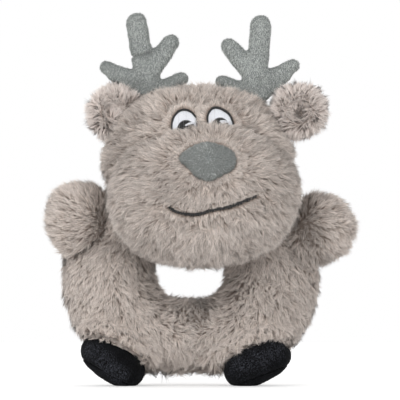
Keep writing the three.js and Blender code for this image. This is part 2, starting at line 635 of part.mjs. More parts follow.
const hooves = [
  ["left", HOOF_LEFT_SHARE, HOOF_LEFT_SLANT],
  ["right", HOOF_RIGHT_SHARE, HOOF_RIGHT_SLANT],
];
for (const [side, share, slant] of hooves) {
  const slantTurn = radians(slant);
  const across = { x: HOOF_HALF_LENGTH * Math.sin(slantTurn), z: HOOF_HALF_HEIGHT * Math.cos(slantTurn) };
  const dual = HOOF_BOXINESS / (HOOF_BOXINESS - 1);
  const lowest = (Math.abs(across.x) ** dual + Math.abs(across.z) ** dual) ** (1 / dual);
  const form = {
    centre: vector(ringCentre.x + share * RING_HALF_WIDTH, -HOOF_FORWARD, lowest - SOLE_FLAT_DEPTH),
    half: vector(HOOF_HALF_LENGTH, HOOF_HALF_DEPTH, HOOF_HALF_HEIGHT),
    boxiness: HOOF_BOXINESS,
    turn: slantTurn,
    facets: LIMB_FACETS,
  };
  const ground = halfSpaceBelow(vector(form.centre.x, form.centre.y, 0), 0);
  const whole = solid(stuffedForm(form)).subtract(ground).subtract(grownRing);
  const seamTurn = slantTurn * SOLE_SLANT_SHARE;
  const normal = vector(-Math.sin(slantTurn), 0, Math.cos(slantTurn));
  const onSeam = form.centre.clone().addScaledVector(normal, SOLE_THICKNESS - HOOF_HALF_HEIGHT);
  const belowSeam = halfSpaceBelow(onSeam, seamTurn);
  const aboveGap = halfSpaceBelow(onSeam.clone().addScaledVector(normal, SEAM_GAP), seamTurn);
  addPiece(`hoof_upper_${side}`, whole.subtract(aboveGap), BLACK_VELVET);
  addPiece(`hoof_sole_${side}`, whole.intersect(belowSeam), BLACK_VELVET);
}

// The origin goes to the middle of the footprint, on the ground
const extent = new THREE.Box3().setFromObject(toy);
const middle = extent.getCenter(vector());
toy.position.set(-middle.x, -middle.y, -extent.min.z);
for (const [name, { seam, axis }] of Object.entries(hinges)) {
  const place = seam.clone().add(toy.position);
  console.log(`${name} turns at`, place.toArray(), "about", axis.toArray());
}

export default toy;
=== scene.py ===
"""Plush deer with a ring body: long-pile fur, short-pile antlers and nose, velvet hooves, embroidered face.

Millimetres here, metres in Blender. +Z is up and -Y out of the face; left and right are as seen from in
front. Every stuffed piece is a padded skin remeshed from its CAD solid, with pile of closed tapered strands
that are combed and drawn into tufts and locks. The embroidery is laid thread by thread.
"""

import math
from functools import partial

import bpy
import numpy as np
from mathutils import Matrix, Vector, noise
from mathutils.bvhtree import BVHTree
from mathutils.kdtree import KDTree
from numpy.linalg import norm

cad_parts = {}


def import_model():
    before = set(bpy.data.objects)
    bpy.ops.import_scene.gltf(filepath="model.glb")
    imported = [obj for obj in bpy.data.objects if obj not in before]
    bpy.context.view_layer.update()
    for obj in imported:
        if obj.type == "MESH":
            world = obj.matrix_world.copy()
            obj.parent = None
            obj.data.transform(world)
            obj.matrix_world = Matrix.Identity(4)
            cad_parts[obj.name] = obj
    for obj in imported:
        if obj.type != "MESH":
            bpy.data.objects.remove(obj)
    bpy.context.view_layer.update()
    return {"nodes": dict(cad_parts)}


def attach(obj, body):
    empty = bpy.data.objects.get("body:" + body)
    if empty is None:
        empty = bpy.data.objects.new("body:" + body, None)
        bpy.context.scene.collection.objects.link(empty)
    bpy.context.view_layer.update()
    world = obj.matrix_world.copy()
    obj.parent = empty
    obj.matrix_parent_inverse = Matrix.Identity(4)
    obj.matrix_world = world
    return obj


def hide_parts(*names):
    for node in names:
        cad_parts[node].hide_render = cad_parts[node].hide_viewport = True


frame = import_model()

METRE = 1000.0  # millimetres
FAR = 30.0  # distances are looked for no further

# Meshes as arrays


def read_mesh(mesh):
    mesh.calc_loop_triangles()
    points = np.empty(len(mesh.vertices) * 3)
    mesh.vertices.foreach_get("co", points)
    triangles = np.empty(len(mesh.loop_triangles) * 3, dtype=np.int32)
    mesh.loop_triangles.foreach_get("vertices", triangles)
    return points.reshape(-1, 3) * METRE, triangles.reshape(-1, 3)


def unit(v):
    shortest = 1e-9
    return v / np.maximum(norm(v, axis=-1, keepdims=True), shortest)


def dot(a, b):
    return np.sum(a * b, axis=-1, keepdims=True)


def smoothstep(low, high, x):
    t = np.clip((x - low) / (high - low), 0.0, 1.0)
    return t * t * (3.0 - 2.0 * t)


def areas_and_crosses(points, triangles):
    a, b, c = (points[triangles[:, i]] for i in range(3))
    crosses = np.cross(b - a, c - a)
    return norm(crosses, axis=1) / 2.0, crosses


def vertex_normals(points, triangles):
    crosses = areas_and_crosses(points, triangles)[1]
    normals = np.zeros_like(points)
    for i in range(3):
        np.add.at(normals, triangles[:, i], crosses)
    return unit(normals)


def placed(name, data):
    obj = bpy.data.objects.new(name, data)
    bpy.context.scene.collection.objects.link(obj)
    return obj


def new_object(name, mesh, material, body, replaced=()):
    """A visible piece that rides on a body and stands for CAD nodes."""
    obj = placed(name, mesh)
    mesh.materials.clear()
    mesh.materials.append(material)
    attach(obj, body)
    if replaced:
        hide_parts(*replaced)
    return obj


def write_points(mesh, points):
    mesh.vertices.foreach_set("co", (points / METRE).astype(np.float32).ravel())
    mesh.update()


def array_mesh(name, points, triangles, uv=None, normals=None):
    """A smooth triangle mesh; uv and normals have one row per vertex."""
    mesh = bpy.data.meshes.new(name)
    mesh.vertices.add(len(points))
    write_points(mesh, points)
    mesh.loops.add(triangles.size)
    mesh.loops.foreach_set("vertex_index", triangles.astype(np.int32).ravel())
    mesh.polygons.add(len(triangles))
    mesh.polygons.foreach_set("loop_start", np.arange(0, triangles.size, 3, dtype=np.int32))
    mesh.polygons.foreach_set("use_smooth", np.full(len(triangles), True))
    if uv is not None:
        layer = mesh.uv_layers.new(name="OFBake")
        layer.uv.foreach_set("vector", uv[triangles.ravel()].astype(np.float32).ravel())
    mesh.update(calc_edges=True)
    if normals is not None:
        mesh.normals_split_custom_set_from_vertices(normals.tolist())
    return mesh


def repeated(faces, count, step):
    """The faces of many parts that are alike, each of step points."""
    return (np.array(faces)[None] + (np.arange(count) * step)[:, None, None]).reshape(-1, 3)


def search_tree(points, triangles):
    return BVHTree.FromPolygons(points.tolist(), triangles.tolist())


# CAD nodes as surfaces

NODES = {name: read_mesh(obj.data) for name, obj in frame["nodes"].items()}
HOOVES = ["hoof_upper_left", "hoof_sole_left", "hoof_upper_right", "hoof_sole_right"]
FUR_NODES = ["ring_body", "head", "muzzle", "ear_left", "ear_right", "arm_left", "arm_right"]


def body_of(node):
    """The moving body that a long-pile piece belongs to."""
    return node if node.startswith(("ear", "arm")) else "body"


def middle_of(node):
    points = NODES[node][0]
    return (points.min(axis=0) + points.max(axis=0)) / 2.0


def tree_of(*names):
    """One search tree over several CAD nodes."""
    starts = np.cumsum([0] + [len(NODES[name][0]) for name in names])
    points = np.concatenate([NODES[name][0] for name in names])
    triangles = np.concatenate([NODES[name][1] + start for name, start in zip(names, starts)])
    return search_tree(points, triangles)


def distances(tree, points, limit=FAR):
    found = np.full(len(points), limit)
    for i, p in enumerate(points):
        hit = tree.find_nearest(p, limit)
        if hit[0] is not None:
            found[i] = hit[3]
    return found


# The photograph: a straight front view, 0.75 mm to the pixel at the face

PIXEL = 0.75
PHOTO_SIZE = 400  # pixels
PHOTO_HEAD_X = 198.0  # the cranium's middle
PHOTO_GROUND_Y = 386.0
HEAD_X = middle_of("head")[0]
RING_MIDDLE = middle_of("ring_body")


def photo_place(px, py):
    """X and Z of a pixel of the photograph, on the plane of the face."""
    return np.array([(px - PHOTO_HEAD_X) * PIXEL + HEAD_X, (PHOTO_GROUND_Y - py) * PIXEL])


def photo_line(pixels):
    return np.array([photo_place(*p) for p in pixels])


def xz(points):
    """X and Z of points. Places are such pairs."""
    return points[:, [0, 2]]


def line_distance(line, places):
    """Distance of places from a line, and whether they are above it (1) or below (-1)."""
    best = np.full(len(places), np.inf)
    above = np.ones(len(places))
    for a, b in zip(line[:-1], line[1:]):
        along = b - a
        t = np.clip(((places - a) @ along) / (along @ along), 0.0, 1.0)
        off = places - (a + t[:, None] * along)
        d = norm(off, axis=1)
        above = np.where(d < best, np.sign(off[:, 1]), above)
        best = np.minimum(d, best)
    return best, above


def polar(places, centre):
    """The angles and distances of places from a centre."""
    away = places - centre
    return np.arctan2(away[:, 1], away[:, 0]), norm(away, axis=1)


def outline_radius(outline, centre, angles):
    """How far an outline lies from its centre at each angle."""
    at, reach = polar(outline, centre)
    order = np.argsort(at)
    return np.interp(angles, at[order], reach[order], period=math.tau)


EYE_CENTRES = {"left": photo_place(185.3, 125.5), "right": photo_place(219.8, 122.6)}
EYE_ARCHES = {
    "left": [
        (173.2, 134), (172.05, 129.5), (171.9, 125.5), (172.6, 121.1), (174.2, 117.3), (176.7, 113.8),
        (179.6, 111.4), (183.7, 110.4), (187.2, 110.8), (191, 112.5), (194, 115.4), (196.4, 118.7),
        (197.8, 121.7), (198.6, 123.9), (199, 128),
    ],
    "right": [
        (208.4, 128), (207.6, 123.3), (207.2, 120.1), (207.6, 115.7), (209.5, 111.9), (212.2, 109.2),
        (215.4, 108.4), (218.7, 108.9), (221.9, 110.3), (225.2, 112.2), (228.2, 114.6), (230.3, 117.6),
        (231.9, 121.1), (232.9, 124.7), (233.2, 129),
    ],
}
PUPILS = {"left": (186.1, 129.0, 8.4), "right": (219.9, 126.0, 8.0)}  # centre and radius, in pixels
GLINTS = {
    "left": [
        (184.8, 126.3), (187.8, 124.1), (191, 123.2), (194.3, 123.7), (195.4, 124.7), (192.1, 125.2),
        (188.3, 126.3), (186.1, 127.1),
    ],
    "right": [
        (219.2, 121.7), (221.9, 121), (225.2, 121.2), (227.9, 123.3), (225.2, 124.4), (222.5, 124.7),
        (220.3, 123.9),
    ],
}
MOUTH = photo_line([
    (169.7, 206.9), (173.7, 209.8), (180.5, 212.6), (187.4, 214), (196, 214.3), (203, 212.9),
    (211.5, 209.8), (223.6, 207.8), (233.9, 205.2), (242.5, 201.7), (249.4, 198.3), (255.1, 196.2),
])
PHILTRUM = photo_line([(210.2, 200.8), (210.7, 204.5), (211.2, 208.2)])
NOSE = photo_place(208.0, 161.5)
NOSE_OUTLINE = photo_line([
    (179.9, 159.6), (181.3, 155.8), (185.6, 151), (192.1, 147.2), (198.6, 144.7), (205.7, 143.6),
    (212.7, 144.2), (219.2, 145.3), (225.2, 147.2), (230.1, 150.4), (233.3, 154.8), (235.2, 159.6),
    (235.5, 164.5), (233.8, 168.3), (229, 172.6), (223.5, 174.3), (217, 177.5), (210.5, 180),
    (202.9, 179.7), (197, 177), (191, 171.6), (185.6, 166.1), (181.8, 162.3),
])
NOSE_SPECK = photo_place(208.6, 160.2)  # where its pile parts
NOSE_FLOW = photo_place(207.5, 168.0)  # where the face's pile parts


def outline_share(places, outline, centre):
    """1 on an outline, below 1 inside it."""
    angles, reach = polar(places, centre)
    return reach / outline_radius(outline, centre, angles)


def eye_share(places, side):
    return outline_share(places, photo_line(EYE_ARCHES[side]), EYE_CENTRES[side])


def nose_share(places):
    return outline_share(places, NOSE_OUTLINE, NOSE)


# Materials


class Nodes:
    """Short names for building the nodes of a material or of the world."""

    def __init__(self, owner):
        self.owner = owner
        owner.use_nodes = True
        self.tree = owner.node_tree
        self.shader = self.tree.nodes.get("Principled BSDF")

    def put(self, socket, value):
        """Links a socket to another one, or gives it a plain value."""
        if isinstance(value, bpy.types.NodeSocket):
            self.tree.links.new(value, socket)
        else:
            socket.default_value = value

    def set(self, **values):
        """Values for the shader's inputs."""
        for key, value in values.items():
            self.put(self.shader.inputs[key.replace("_", " ")], value)

    def add(self, kind, *values, **settings):
        """A new node, with values for its first inputs and named ones for others or for settings."""
        node = self.tree.nodes.new(kind)
        for key, value in settings.items():
            if key in node.inputs:
                self.put(node.inputs[key], value)
            else:
                setattr(node, key, value)
        for socket, value in zip(node.inputs, values):
            self.put(socket, value)
        return node

    def ramp(self, factor, stops):
        node = self.add("ShaderNodeValToRGB", factor)
        elements = node.color_ramp.elements
        while len(elements) < len(stops):
            elements.new(0.5)
        for element, (place, colour) in zip(elements, stops):
            element.position = place
            element.color = (*colour, 1.0)
        return node.outputs["Color"]

    def mix(self, factor, a, b, blend="MIX"):
        node = self.add("ShaderNodeMix", factor, data_type="RGBA", blend_type=blend)
        self.put(node.inputs[6], a)
        self.put(node.inputs[7], b)
        return node.outputs[2]

    def noise(self, scale, detail, roughness):
        place = self.add("ShaderNodeTexCoord").outputs["Object"]
        node = self.add("ShaderNodeTexNoise", Vector=place, Scale=scale, Detail=detail, Roughness=roughness)
        return node.outputs["Fac"]

    def bump(self, height, strength, distance):
        node = self.add("ShaderNodeBump", Height=height, Strength=strength, Distance=distance / METRE)
        self.set(Normal=node.outputs["Normal"])

    def seen_directly(self):
        """1 for rays from the camera, a mirror or glass, 0 for those that carry light."""
        rays = self.add("ShaderNodeLightPath").outputs
        total = rays["Is Camera Ray"]
        for ray in ("Is Glossy Ray", "Is Transmission Ray"):
            total = self.add("ShaderNodeMath", total, rays[ray], operation="MAXIMUM").outputs[0]
        return total


def linear(r, g, b):
    """A screen colour, 0 to 255, as the linear values that shaders take."""
    def channel(c):
        c /= 255.0
        return c / 12.92 if c <= 0.04045 else ((c + 0.055) / 1.055) ** 2.4
    return channel(r), channel(g), channel(b)


def pile_material(name, root, middle, tip, dark=0.6, light=1.3, sheen=0.1, shine=0.2):
    """Colour by the strand's own map: u is the strand's shade, v runs from root to tip."""
    m = Nodes(bpy.data.materials.new(name))
    strand = m.add("ShaderNodeUVMap", uv_map="OFBake").outputs["UV"]
    split = m.add("ShaderNodeSeparateXYZ", Vector=strand)
    along = m.ramp(split.outputs["Y"], [(0.0, linear(*root)), (0.45, linear(*middle)), (0.95, linear(*tip))])
    shade = m.ramp(split.outputs["X"], [(0.0, (dark,) * 3), (0.5, (0.96,) * 3), (1.0, (light,) * 3)])
    m.set(Base_Color=m.mix(1.0, along, shade, "MULTIPLY"), Roughness=0.8, Specular_IOR_Level=shine)
    m.set(Sheen_Weight=sheen, Sheen_Roughness=0.5)
    return m.owner


def grained_material(name, dark, light, grain, ends, bump, broad=None, **surface):
    """Two colours mixed by a fine noise that raises the surface too. A broad noise can mottle them."""
    m = Nodes(bpy.data.materials.new(name))
    fine = m.noise(*grain)
    mottled = m.mix(MOTTLE, fine, m.noise(*broad)) if broad else fine
    m.set(Base_Color=m.ramp(mottled, [(ends[0], linear(*dark)), (ends[1], linear(*light))]), **surface)
    m.bump(fine, *bump)
    return m.owner


MOTTLE = 0.35
CLOTH = dict(
    grain=(900.0, 4.0, 0.65), broad=(70.0, 2.0, 0.5), ends=(0.35, 0.65), bump=(0.5, 0.5),
    Roughness=0.95, Specular_IOR_Level=0.1,
)
SATIN = dict(
    grain=(1800.0, 2.0, 0.6), ends=(0.3, 0.7), bump=(0.3, 0.1),
    Roughness=0.42, Specular_IOR_Level=0.5, Sheen_Weight=0.1, Sheen_Roughness=0.4,
)
PLASTIC = dict(grain=(300.0, 3.0, 0.5), ends=(0.3, 0.7), bump=(0.15, 0.2), Roughness=0.42)


TAUPE_PILE = pile_material("taupe_pile", (154, 134, 122), (206, 192, 182), (238, 228, 220))
# A paler copy of the taupe pile for the ears and their linings: painted light against the shade in their
# cups.
EAR_TAUPE_PAINTED_LIGHT = pile_material("ear_taupe_pile", (174, 156, 146), (214, 201, 193), (240, 231, 225), 0.3)
GREY_PILE = pile_material("grey_pile", (142, 146, 144), (190, 194, 191), (214, 218, 214), 0.5, 1.35)
# Its shade ramp runs up to five times the tip colour, for the painted sheen on the hooves.
VELVET_PILE = pile_material("velvet_pile", (9, 9, 10), (24, 25, 28), (52, 54, 60), 0.3, 5.0, 0.03, 0.08)
TAUPE_CLOTH = grained_material("taupe_cloth", (150, 138, 130), (176, 164, 155), **CLOTH)
GREY_CLOTH = grained_material("grey_cloth", (116, 120, 119), (148, 152, 150), **CLOTH)
VELVET_CLOTH = grained_material("velvet_cloth", (9, 9, 10), (24, 25, 27), **CLOTH)
WHITE_SATIN = grained_material("white_satin", (226, 228, 234), (246, 247, 250), **SATIN)
BLACK_SATIN = grained_material("black_satin", (12, 12, 12), (32, 31, 31), **SATIN)
BULB_PLASTIC = grained_material("bulb_plastic", (222, 217, 203), (232, 228, 216), **PLASTIC)
VALVE_PLASTIC = grained_material("valve_plastic", (236, 236, 232), (246, 246, 243), **PLASTIC)

# Stuffed skins


def remeshed(node, voxel, passes, material, body):
    """A CAD solid copied, remeshed evenly and smoothed; its node is replaced."""
    name = f"{node}_skin"
    mesh = frame["nodes"][node].data.copy()
    obj = placed(name, mesh)
    even = obj.modifiers.new("even", "REMESH")
    even.mode = "VOXEL"
    even.voxel_size = voxel / METRE
    even.use_smooth_shade = True
    soften = obj.modifiers.new("soften", "SMOOTH")
    soften.factor = 0.5
    soften.iterations = passes
    done = bpy.data.meshes.new_from_object(obj.evaluated_get(bpy.context.evaluated_depsgraph_get()))
    bpy.data.objects.remove(obj)
    bpy.data.meshes.remove(mesh)
    done.name = name
    return new_object(name, done, material, body, (node,))


def skin_of(obj, node, body, slot, gap=None, room=None):
    """What pile grows on. gap is to every other long-pile piece, room to those that move against it."""
    points, triangles = read_mesh(obj.data)
    far = np.full(len(points), FAR)
    return {
        "points": points, "triangles": triangles, "node": node, "body": body, "slot": slot,
        "gap": far if gap is None else gap, "room": far if room is None else room,
    }


INSET = 2.2  # the fur's skin lies this far inside the CAD surface
SEAM_INSET_SHARE = 0.25  # but less at a seam with another long-pile piece
HOOF_TREE = tree_of(*HOOVES)
HOOF_DRAW = 9.0  # how far the hooves' seams draw the ring's skin forwards
FURROW_DEPTH, FURROW_WIDTH = 3.0, 3.0
BROW_DEPTH, BROW_WIDTH = 1.8, 2.2


def face_inset(points, plain):
    """The skin comes up to the embroidery and the nose."""
    places = xz(points)
    near = smoothstep(9, 2, line_distance(MOUTH, places)[0])
    near = np.maximum(near, smoothstep(1.7, 1.15, nearer_eye(points)))
    near = np.maximum(near, smoothstep(1.5, 1.0, nose_share(places)))
    return plain * (1 - near * smoothstep(8, 0, points[:, 1]))


def drawn_to_hooves(points):
    """In front, the hooves' seams draw the ring's skin forwards onto them."""
    near = smoothstep(15, 3, distances(HOOF_TREE, points, 20.0))
    moved = points.copy()
    moved[:, 1] -= HOOF_DRAW * near * smoothstep(34, 20, points[:, 1])
    return moved


def folds(points):
    """How deep the face's folds and the creases of the brows are."""
    depth = sum(FURROW_DEPTH * streak(points, pixels, FURROW_WIDTH) for pixels in FURROWS)
    return depth + sum(BROW_DEPTH * streak(points, pixels, BROW_WIDTH) for pixels in BROWS)


def fur_skin(node):
    """The backing of a long-pile piece, sunk to leave room for the pile."""
    body = body_of(node)
    obj = remeshed(node, 2.0, 6, TAUPE_CLOTH, body)
    points, triangles = read_mesh(obj.data)
    gap = distances(tree_of(*[n for n in FUR_NODES if n != node]), points)
    room = distances(tree_of(*[n for n in FUR_NODES if body_of(n) != body]), points)
    inset = INSET * (SEAM_INSET_SHARE + (1 - SEAM_INSET_SHARE) * smoothstep(0.5, 8.0, gap))
    if node in ("head", "muzzle"):
        inset = face_inset(points, inset) + folds(points)
    points = points - vertex_normals(points, triangles) * inset[:, None]
    write_points(obj.data, drawn_to_hooves(points) if node == "ring_body" else points)
    return skin_of(obj, node, body, "long_pile", gap, room)


# Pile. A strand takes direction, length and shade from its tuft, and tufts gather into locks. tuft and lock
# are spacings; density is strands to the square millimetre; rise and lift stand a strand up at root and tip;
# swirl, stray and ripple vary direction and length; gather draws a strand to its tuft. shades are spreads of
# shade by tuft, wide patches, strand and lock.

LONG_PILE = dict(
    length=10.5, tuft=2.1, lock=7.0, density=1.9, width=0.19, rise=0.95, lift=0.12,
    swirl=0.6, stray=0.25, ripple=0.3, gather=1.0, shades=(0.1, 0.12, 0.18, 0.06),
)
FACE_PILE = dict(LONG_PILE, density=2.5, tuft=1.8, width=0.165, swirl=0.5, shades=(0.1, 0.1, 0.24, 0.06))
ARM_PILE = dict(FACE_PILE, density=2.3)
RING_PILE = dict(
    LONG_PILE, length=9.5, tuft=1.5, lock=5.0, density=2.3, width=0.18, swirl=0.4,
    stray=0.3, shades=(0.1, 0.1, 0.2, 0.05),
)
EAR_PILE = dict(
    LONG_PILE, length=9.5, density=3.4, tuft=1.4, width=0.17, swirl=0.5, lift=0.05,
    ripple=0.22, gather=0.6, shades=(0.07, 0.1, 0.16, 0.05),
)
LINING_PILE = dict(EAR_PILE, rise=1.1)
CHIN_PILE = dict(
    LONG_PILE, length=12.5, tuft=3.8, lock=8.0, density=0.9, rise=0.7, lift=0.25,
    gather=2.0, shades=(0.2, 0.1, 0.14, 0.14),
)
TRIM_PILE = dict(
    LONG_PILE, length=4.5, tuft=1.5, lock=4.5, density=4.5, width=0.16, rise=0.6, lift=0.05, swirl=0.4,
)
FRINGE_PILE = dict(RING_PILE, length=4.2, density=9.0, rise=0.5, lift=0.05)
SHORT_PILE = dict(
    length=1.4, tuft=0.6, lock=4.0, density=3.4, width=0.12, rise=0.9, lift=0.1,
    swirl=0.2, stray=0.25, ripple=0.05, gather=0.1, shades=(0.04, 0.06, 0.24, 0.0),
)
NOSE_PILE = dict(SHORT_PILE, length=2.2, swirl=0.15, stray=0.12)
VELVET_NAP = dict(SHORT_PILE, length=1.1, rise=1.2, density=2.4, width=0.13, shades=(0.03, 0.08, 0.06, 0.0))

SECTION = [(1.0, 0.0), (0.0, 0.5), (-1.0, 0.0)]  # corners of a strand: across it, and out from the skin
STATIONS = [0.0, 0.5]  # rings of a strand before its tip
STATION_WIDTHS = [0.8, 1.0]
BASE_V, TIP_V = 0.02, 0.98  # the map's ends, root and tip
MAP_STEP = 0.006  # keeps every face open on the map
SHADE_ENDS = (0.03, 0.97)
SEAM_GAP = 1.0  # no pile grows closer than this to another long-pile piece


def scatter(skin, count, rng):
    """Random points on a skin, with their normals, gaps and rooms."""
    points, triangles = skin["points"], skin["triangles"]
    area = areas_and_crosses(points, triangles)[0]
    chosen = rng.choice(len(triangles), count, p=area / area.sum())
    u, v = rng.random(count), rng.random(count)
    over = u + v > 1.0
    u[over], v[over] = 1 - u[over], 1 - v[over]
    weights = np.stack([1 - u - v, u, v], axis=1)[:, :, None]
    corners = triangles[chosen]
    normals = vertex_normals(points, triangles)
    places = np.sum(points[corners] * weights, axis=1)
    gap, room = (np.sum(skin[key][corners] * weights[:, :, 0], axis=1) for key in ("gap", "room"))
    return places, unit(np.sum(normals[corners] * weights, axis=1)), gap, room


noise.seed_set(1)  # otherwise the noise would start from the clock


def field_noise(points, size, seed):
    """A smooth random vector field."""
    shift = Vector((seed * 17.3, seed * 5.1, -seed * 9.7))
    return np.array([noise.noise_vector(Vector(p) / size + shift) for p in points])


def blotches(points, size, seed, amount):
    return amount * field_noise(points, size, seed)[:, 0]


def nearest(places, points):
    """For each point the number of the place that is nearest."""
    finder = KDTree(len(places))
    for i, p in enumerate(places):
        finder.insert(p, i)
    finder.balance()
    return np.array([finder.find(p)[1] for p in points])


def along_skin(vectors, normals):
    return vectors - normals * dot(vectors, normals)


def strand_mesh(name, centres, outward, width, shade, roll):
    """Closed tapered strands, broad side outwards. centres are the points of each ring and of the tips. The
    shading follows the coat, as light does in real fur."""
    count = len(width)
    rings = len(STATIONS)
    sides = len(SECTION)
    per = rings * sides + 1
    points = np.empty((count, per, 3))
    normals = np.empty((count, per, 3))
    uv = np.empty((count, per, 2))
    for ring in range(rings):
        tangent = unit(centres[ring + 1] - centres[ring])
        flat_out = unit(along_skin(outward, tangent))
        flat_side = np.cross(flat_out, tangent)
        out = flat_out * np.cos(roll) + flat_side * np.sin(roll)
        side = flat_side * np.cos(roll) - flat_out * np.sin(roll)
        for k, (across, up) in enumerate(SECTION):
            at = ring * sides + k
            offset = side * across + out * up
            points[:, at] = centres[ring] + offset * (width * STATION_WIDTHS[ring])[:, None]
            normals[:, at] = unit(0.6 * outward + 0.5 * flat_out + 0.3 * offset)
            uv[:, at, 0] = shade + (k - 1) * MAP_STEP
            uv[:, at, 1] = BASE_V + (TIP_V - BASE_V) * ring / rings + (MAP_STEP if k == 1 else 0.0)
    points[:, -1] = centres[-1]
    normals[:, -1] = unit(0.6 * outward + 0.5 * flat_out)
    uv[:, -1, 0] = shade
    uv[:, -1, 1] = TIP_V
    faces = [(2, 1, 0)]
    for ring in range(rings - 1):
        for k in range(sides):
            a, b = ring * sides + k, ring * sides + (k + 1) % sides
            faces += [(a, b, b + sides), (a, b + sides, a + sides)]
    last = (rings - 1) * sides
    faces += [(last + k, last + (k + 1) % sides, rings * sides) for k in range(sides)]
    triangles = repeated(faces, count, per)
    return array_mesh(name, points.reshape(-1, 3), triangles, uv.reshape(-1, 2), normals.reshape(-1, 3))


def grow(skin, style, comb, seed, material, mood, keep=None, crowd=7.0, kind="pile"):
    """Pile on a skin. comb gives its direction, mood its added shade, share of length, added lift and
    disorder, and keep where it grows. It is shorter, with painted shade, within crowd of a piece that moves."""
    rng = np.random.default_rng(seed)
    area = areas_and_crosses(skin["points"], skin["triangles"])[0].sum()

    # Tufts and locks
    lock_root = scatter(skin, int(area / style["lock"] ** 2), rng)[0]
    guides = int(area / style["tuft"] ** 2)
    guide_root, guide_normal, _, _ = scatter(skin, guides, rng)
    feel = mood(guide_root)
    size = style["length"]
    wander = style["swirl"] * field_noise(guide_root, 2.2 * size, seed)
    wander = wander + 0.8 * style["swirl"] * field_noise(guide_root, 0.9 * size, seed + 1)
    wander = wander + style["stray"] * rng.normal(size=(guides, 3))
    lay = unit(along_skin(unit(comb(guide_root)) + feel[:, 3:4] * wander, guide_normal))
    curl = np.cross(guide_normal, lay) * (0.35 * rng.normal(size=(guides, 1)))
    guide_length = 1 + 0.1 * rng.normal(size=guides)
    guide_length += blotches(guide_root, 1.1 * size, seed + 2, style["ripple"])
    lock = nearest(lock_root, guide_root)
    lock_pull = lock_root[lock] - guide_root
    by_tuft, by_field, by_strand, by_lock = style["shades"]
    guide_shade = 0.5 + by_tuft * rng.normal(size=guides) + by_lock * rng.normal(size=len(lock_root))[lock]
    guide_shade += blotches(guide_root, 1.8 * size, seed + 3, by_field)
    guide_lift = style["lift"] + 0.1 * rng.normal(size=guides) + feel[:, 2]
    guide_lift += blotches(guide_root, size, seed + 4, style["ripple"])

    # Strands
    root, normal, gap, room = scatter(skin, int(area * style["density"]), rng)
    kept = gap > SEAM_GAP
    if keep is not None:
        kept &= keep(root)
    root, normal, room = root[kept], normal[kept], room[kept]
    guide = nearest(guide_root, root)
    feel = mood(root)
    count = len(root)

    direction = unit(along_skin(lay[guide] + 0.15 * rng.normal(size=(count, 3)), normal))
    lift = guide_lift[guide][:, None]
    start = unit(normal * (style["rise"] + lift) + direction * 0.65)
    end = unit(direction + curl[guide] + normal * lift)
    length = size * np.clip(guide_length[guide] * (1 + 0.12 * rng.normal(size=count)), 0.5, 1.5)
    length = length * (0.4 + 0.6 * smoothstep(0.5, crowd, room)) * feel[:, 1]
    pull = along_skin(0.5 * (guide_root[guide] - root) + 0.3 * lock_pull[guide], normal) * style["gather"]
    shade = guide_shade[guide] + by_strand * rng.normal(size=count) + feel[:, 0]
    # painted shade near a piece that moves against this one
    shade -= 0.15 * smoothstep(1.3 * crowd, 0.5, room)
    centres = []
    for t in (*STATIONS, 1.0):
        bend = start * t + (end - start) * (t * t / 2.0)
        centre = root + bend * length[:, None] + pull * t ** 1.4
        centre[:, 2] = np.maximum(centre[:, 2], 0.0)  # pile that reaches the ground lies on it
        centres.append(centre)
    width = style["width"] * np.clip(1 + 0.2 * rng.normal(size=count), 0.6, 1.5)
    roll = 0.5 * rng.normal(size=(count, 1))
    name = f"{skin['node']}_{kind}"
    mesh = strand_mesh(name, centres, normal, width, np.clip(shade, *SHADE_ENDS), roll)
    return new_object(name, mesh, material, skin["body"])


# Directions that the pile lies in

DOWN = np.array([[0.0, 0.0, -1.0]])
FORWARD = np.array([[0.0, -1.0, 0.0]])


def flat(places, depth=0.0):
    """Directions in the picture's plane, leaning back by depth."""
    out = np.full((len(places), 3), depth)
    out[:, [0, 2]] = places
    return out


def front_share(points, behind=8.0, before=0.0):
    return smoothstep(behind, before, points[:, 1])


def comb_face(points):
    """Out from the nose, and down on the chin and at the back."""
    away = flat(unit(xz(points) - NOSE_FLOW), 0.35) + 0.25 * DOWN
    back = smoothstep(15, 40, points[:, 1])[:, None]
    return away * (1 - back) + DOWN * back


def comb_head(points):
    """As the face, but out round the eyes."""
    lay = comb_face(points)
    for side, centre in EYE_CENTRES.items():
        share = eye_share(xz(points), side)
        weight = (smoothstep(2.2, 1.2, share) * front_share(points, 10.0))[:, None]
        lay = lay * (1 - weight) + flat(unit(xz(points) - centre), 0.3) * weight
    return lay


def over_hooves(points, lay, reach=11.0):
    """Beside a hoof the pile hangs down over it."""
    lay = lay.copy()
    for i, p in enumerate(points):
        place, normal, _, distance = HOOF_TREE.find_nearest(p, reach)
        if place is None:
            continue
        hang = DOWN[0] + 0.8 * FORWARD[0] + 0.9 * np.array(normal)
        weight = float(smoothstep(reach, 0.4 * reach, distance))
        lay[i] = lay[i] * (1 - weight) + hang / norm(hang) * weight
    return lay


def comb_ring(points):
    """Down both sides, outwards at the rim, and over the hooves."""
    away = points - RING_MIDDLE
    radial = unit(flat(away[:, [0, 2]]))
    along = np.stack([-radial[:, 2], np.zeros(len(points)), radial[:, 0]], axis=1)
    along = along * np.where(radial[:, 0:1] < 0.0, 1.0, -1.0)
    reach = norm(away[:, [0, 2]], axis=1)
    outer = smoothstep(42, 85, reach)[:, None]
    inner = along * 0.9 + radial * 0.1 + DOWN * 0.35
    outside = radial * 0.6 + DOWN * 0.75
    return over_hooves(points, inner * (1 - outer) + outside * outer)


def comb_from(points, pixel, swirl=0.0):
    """Out from a pixel of the photograph."""
    away = unit(xz(points) - photo_place(*pixel))
    turned = np.stack([-away[:, 1], away[:, 0]], axis=1)
    return flat(away + swirl * turned, 0.3) + 0.1 * DOWN


def comb_chin(points):
    return comb_face(points) + 0.9 * DOWN


def comb_nose(points):
    return flat(unit(xz(points) - NOSE_SPECK), 0.3)


def comb_down(points):
    return np.repeat(DOWN, len(points), axis=0)


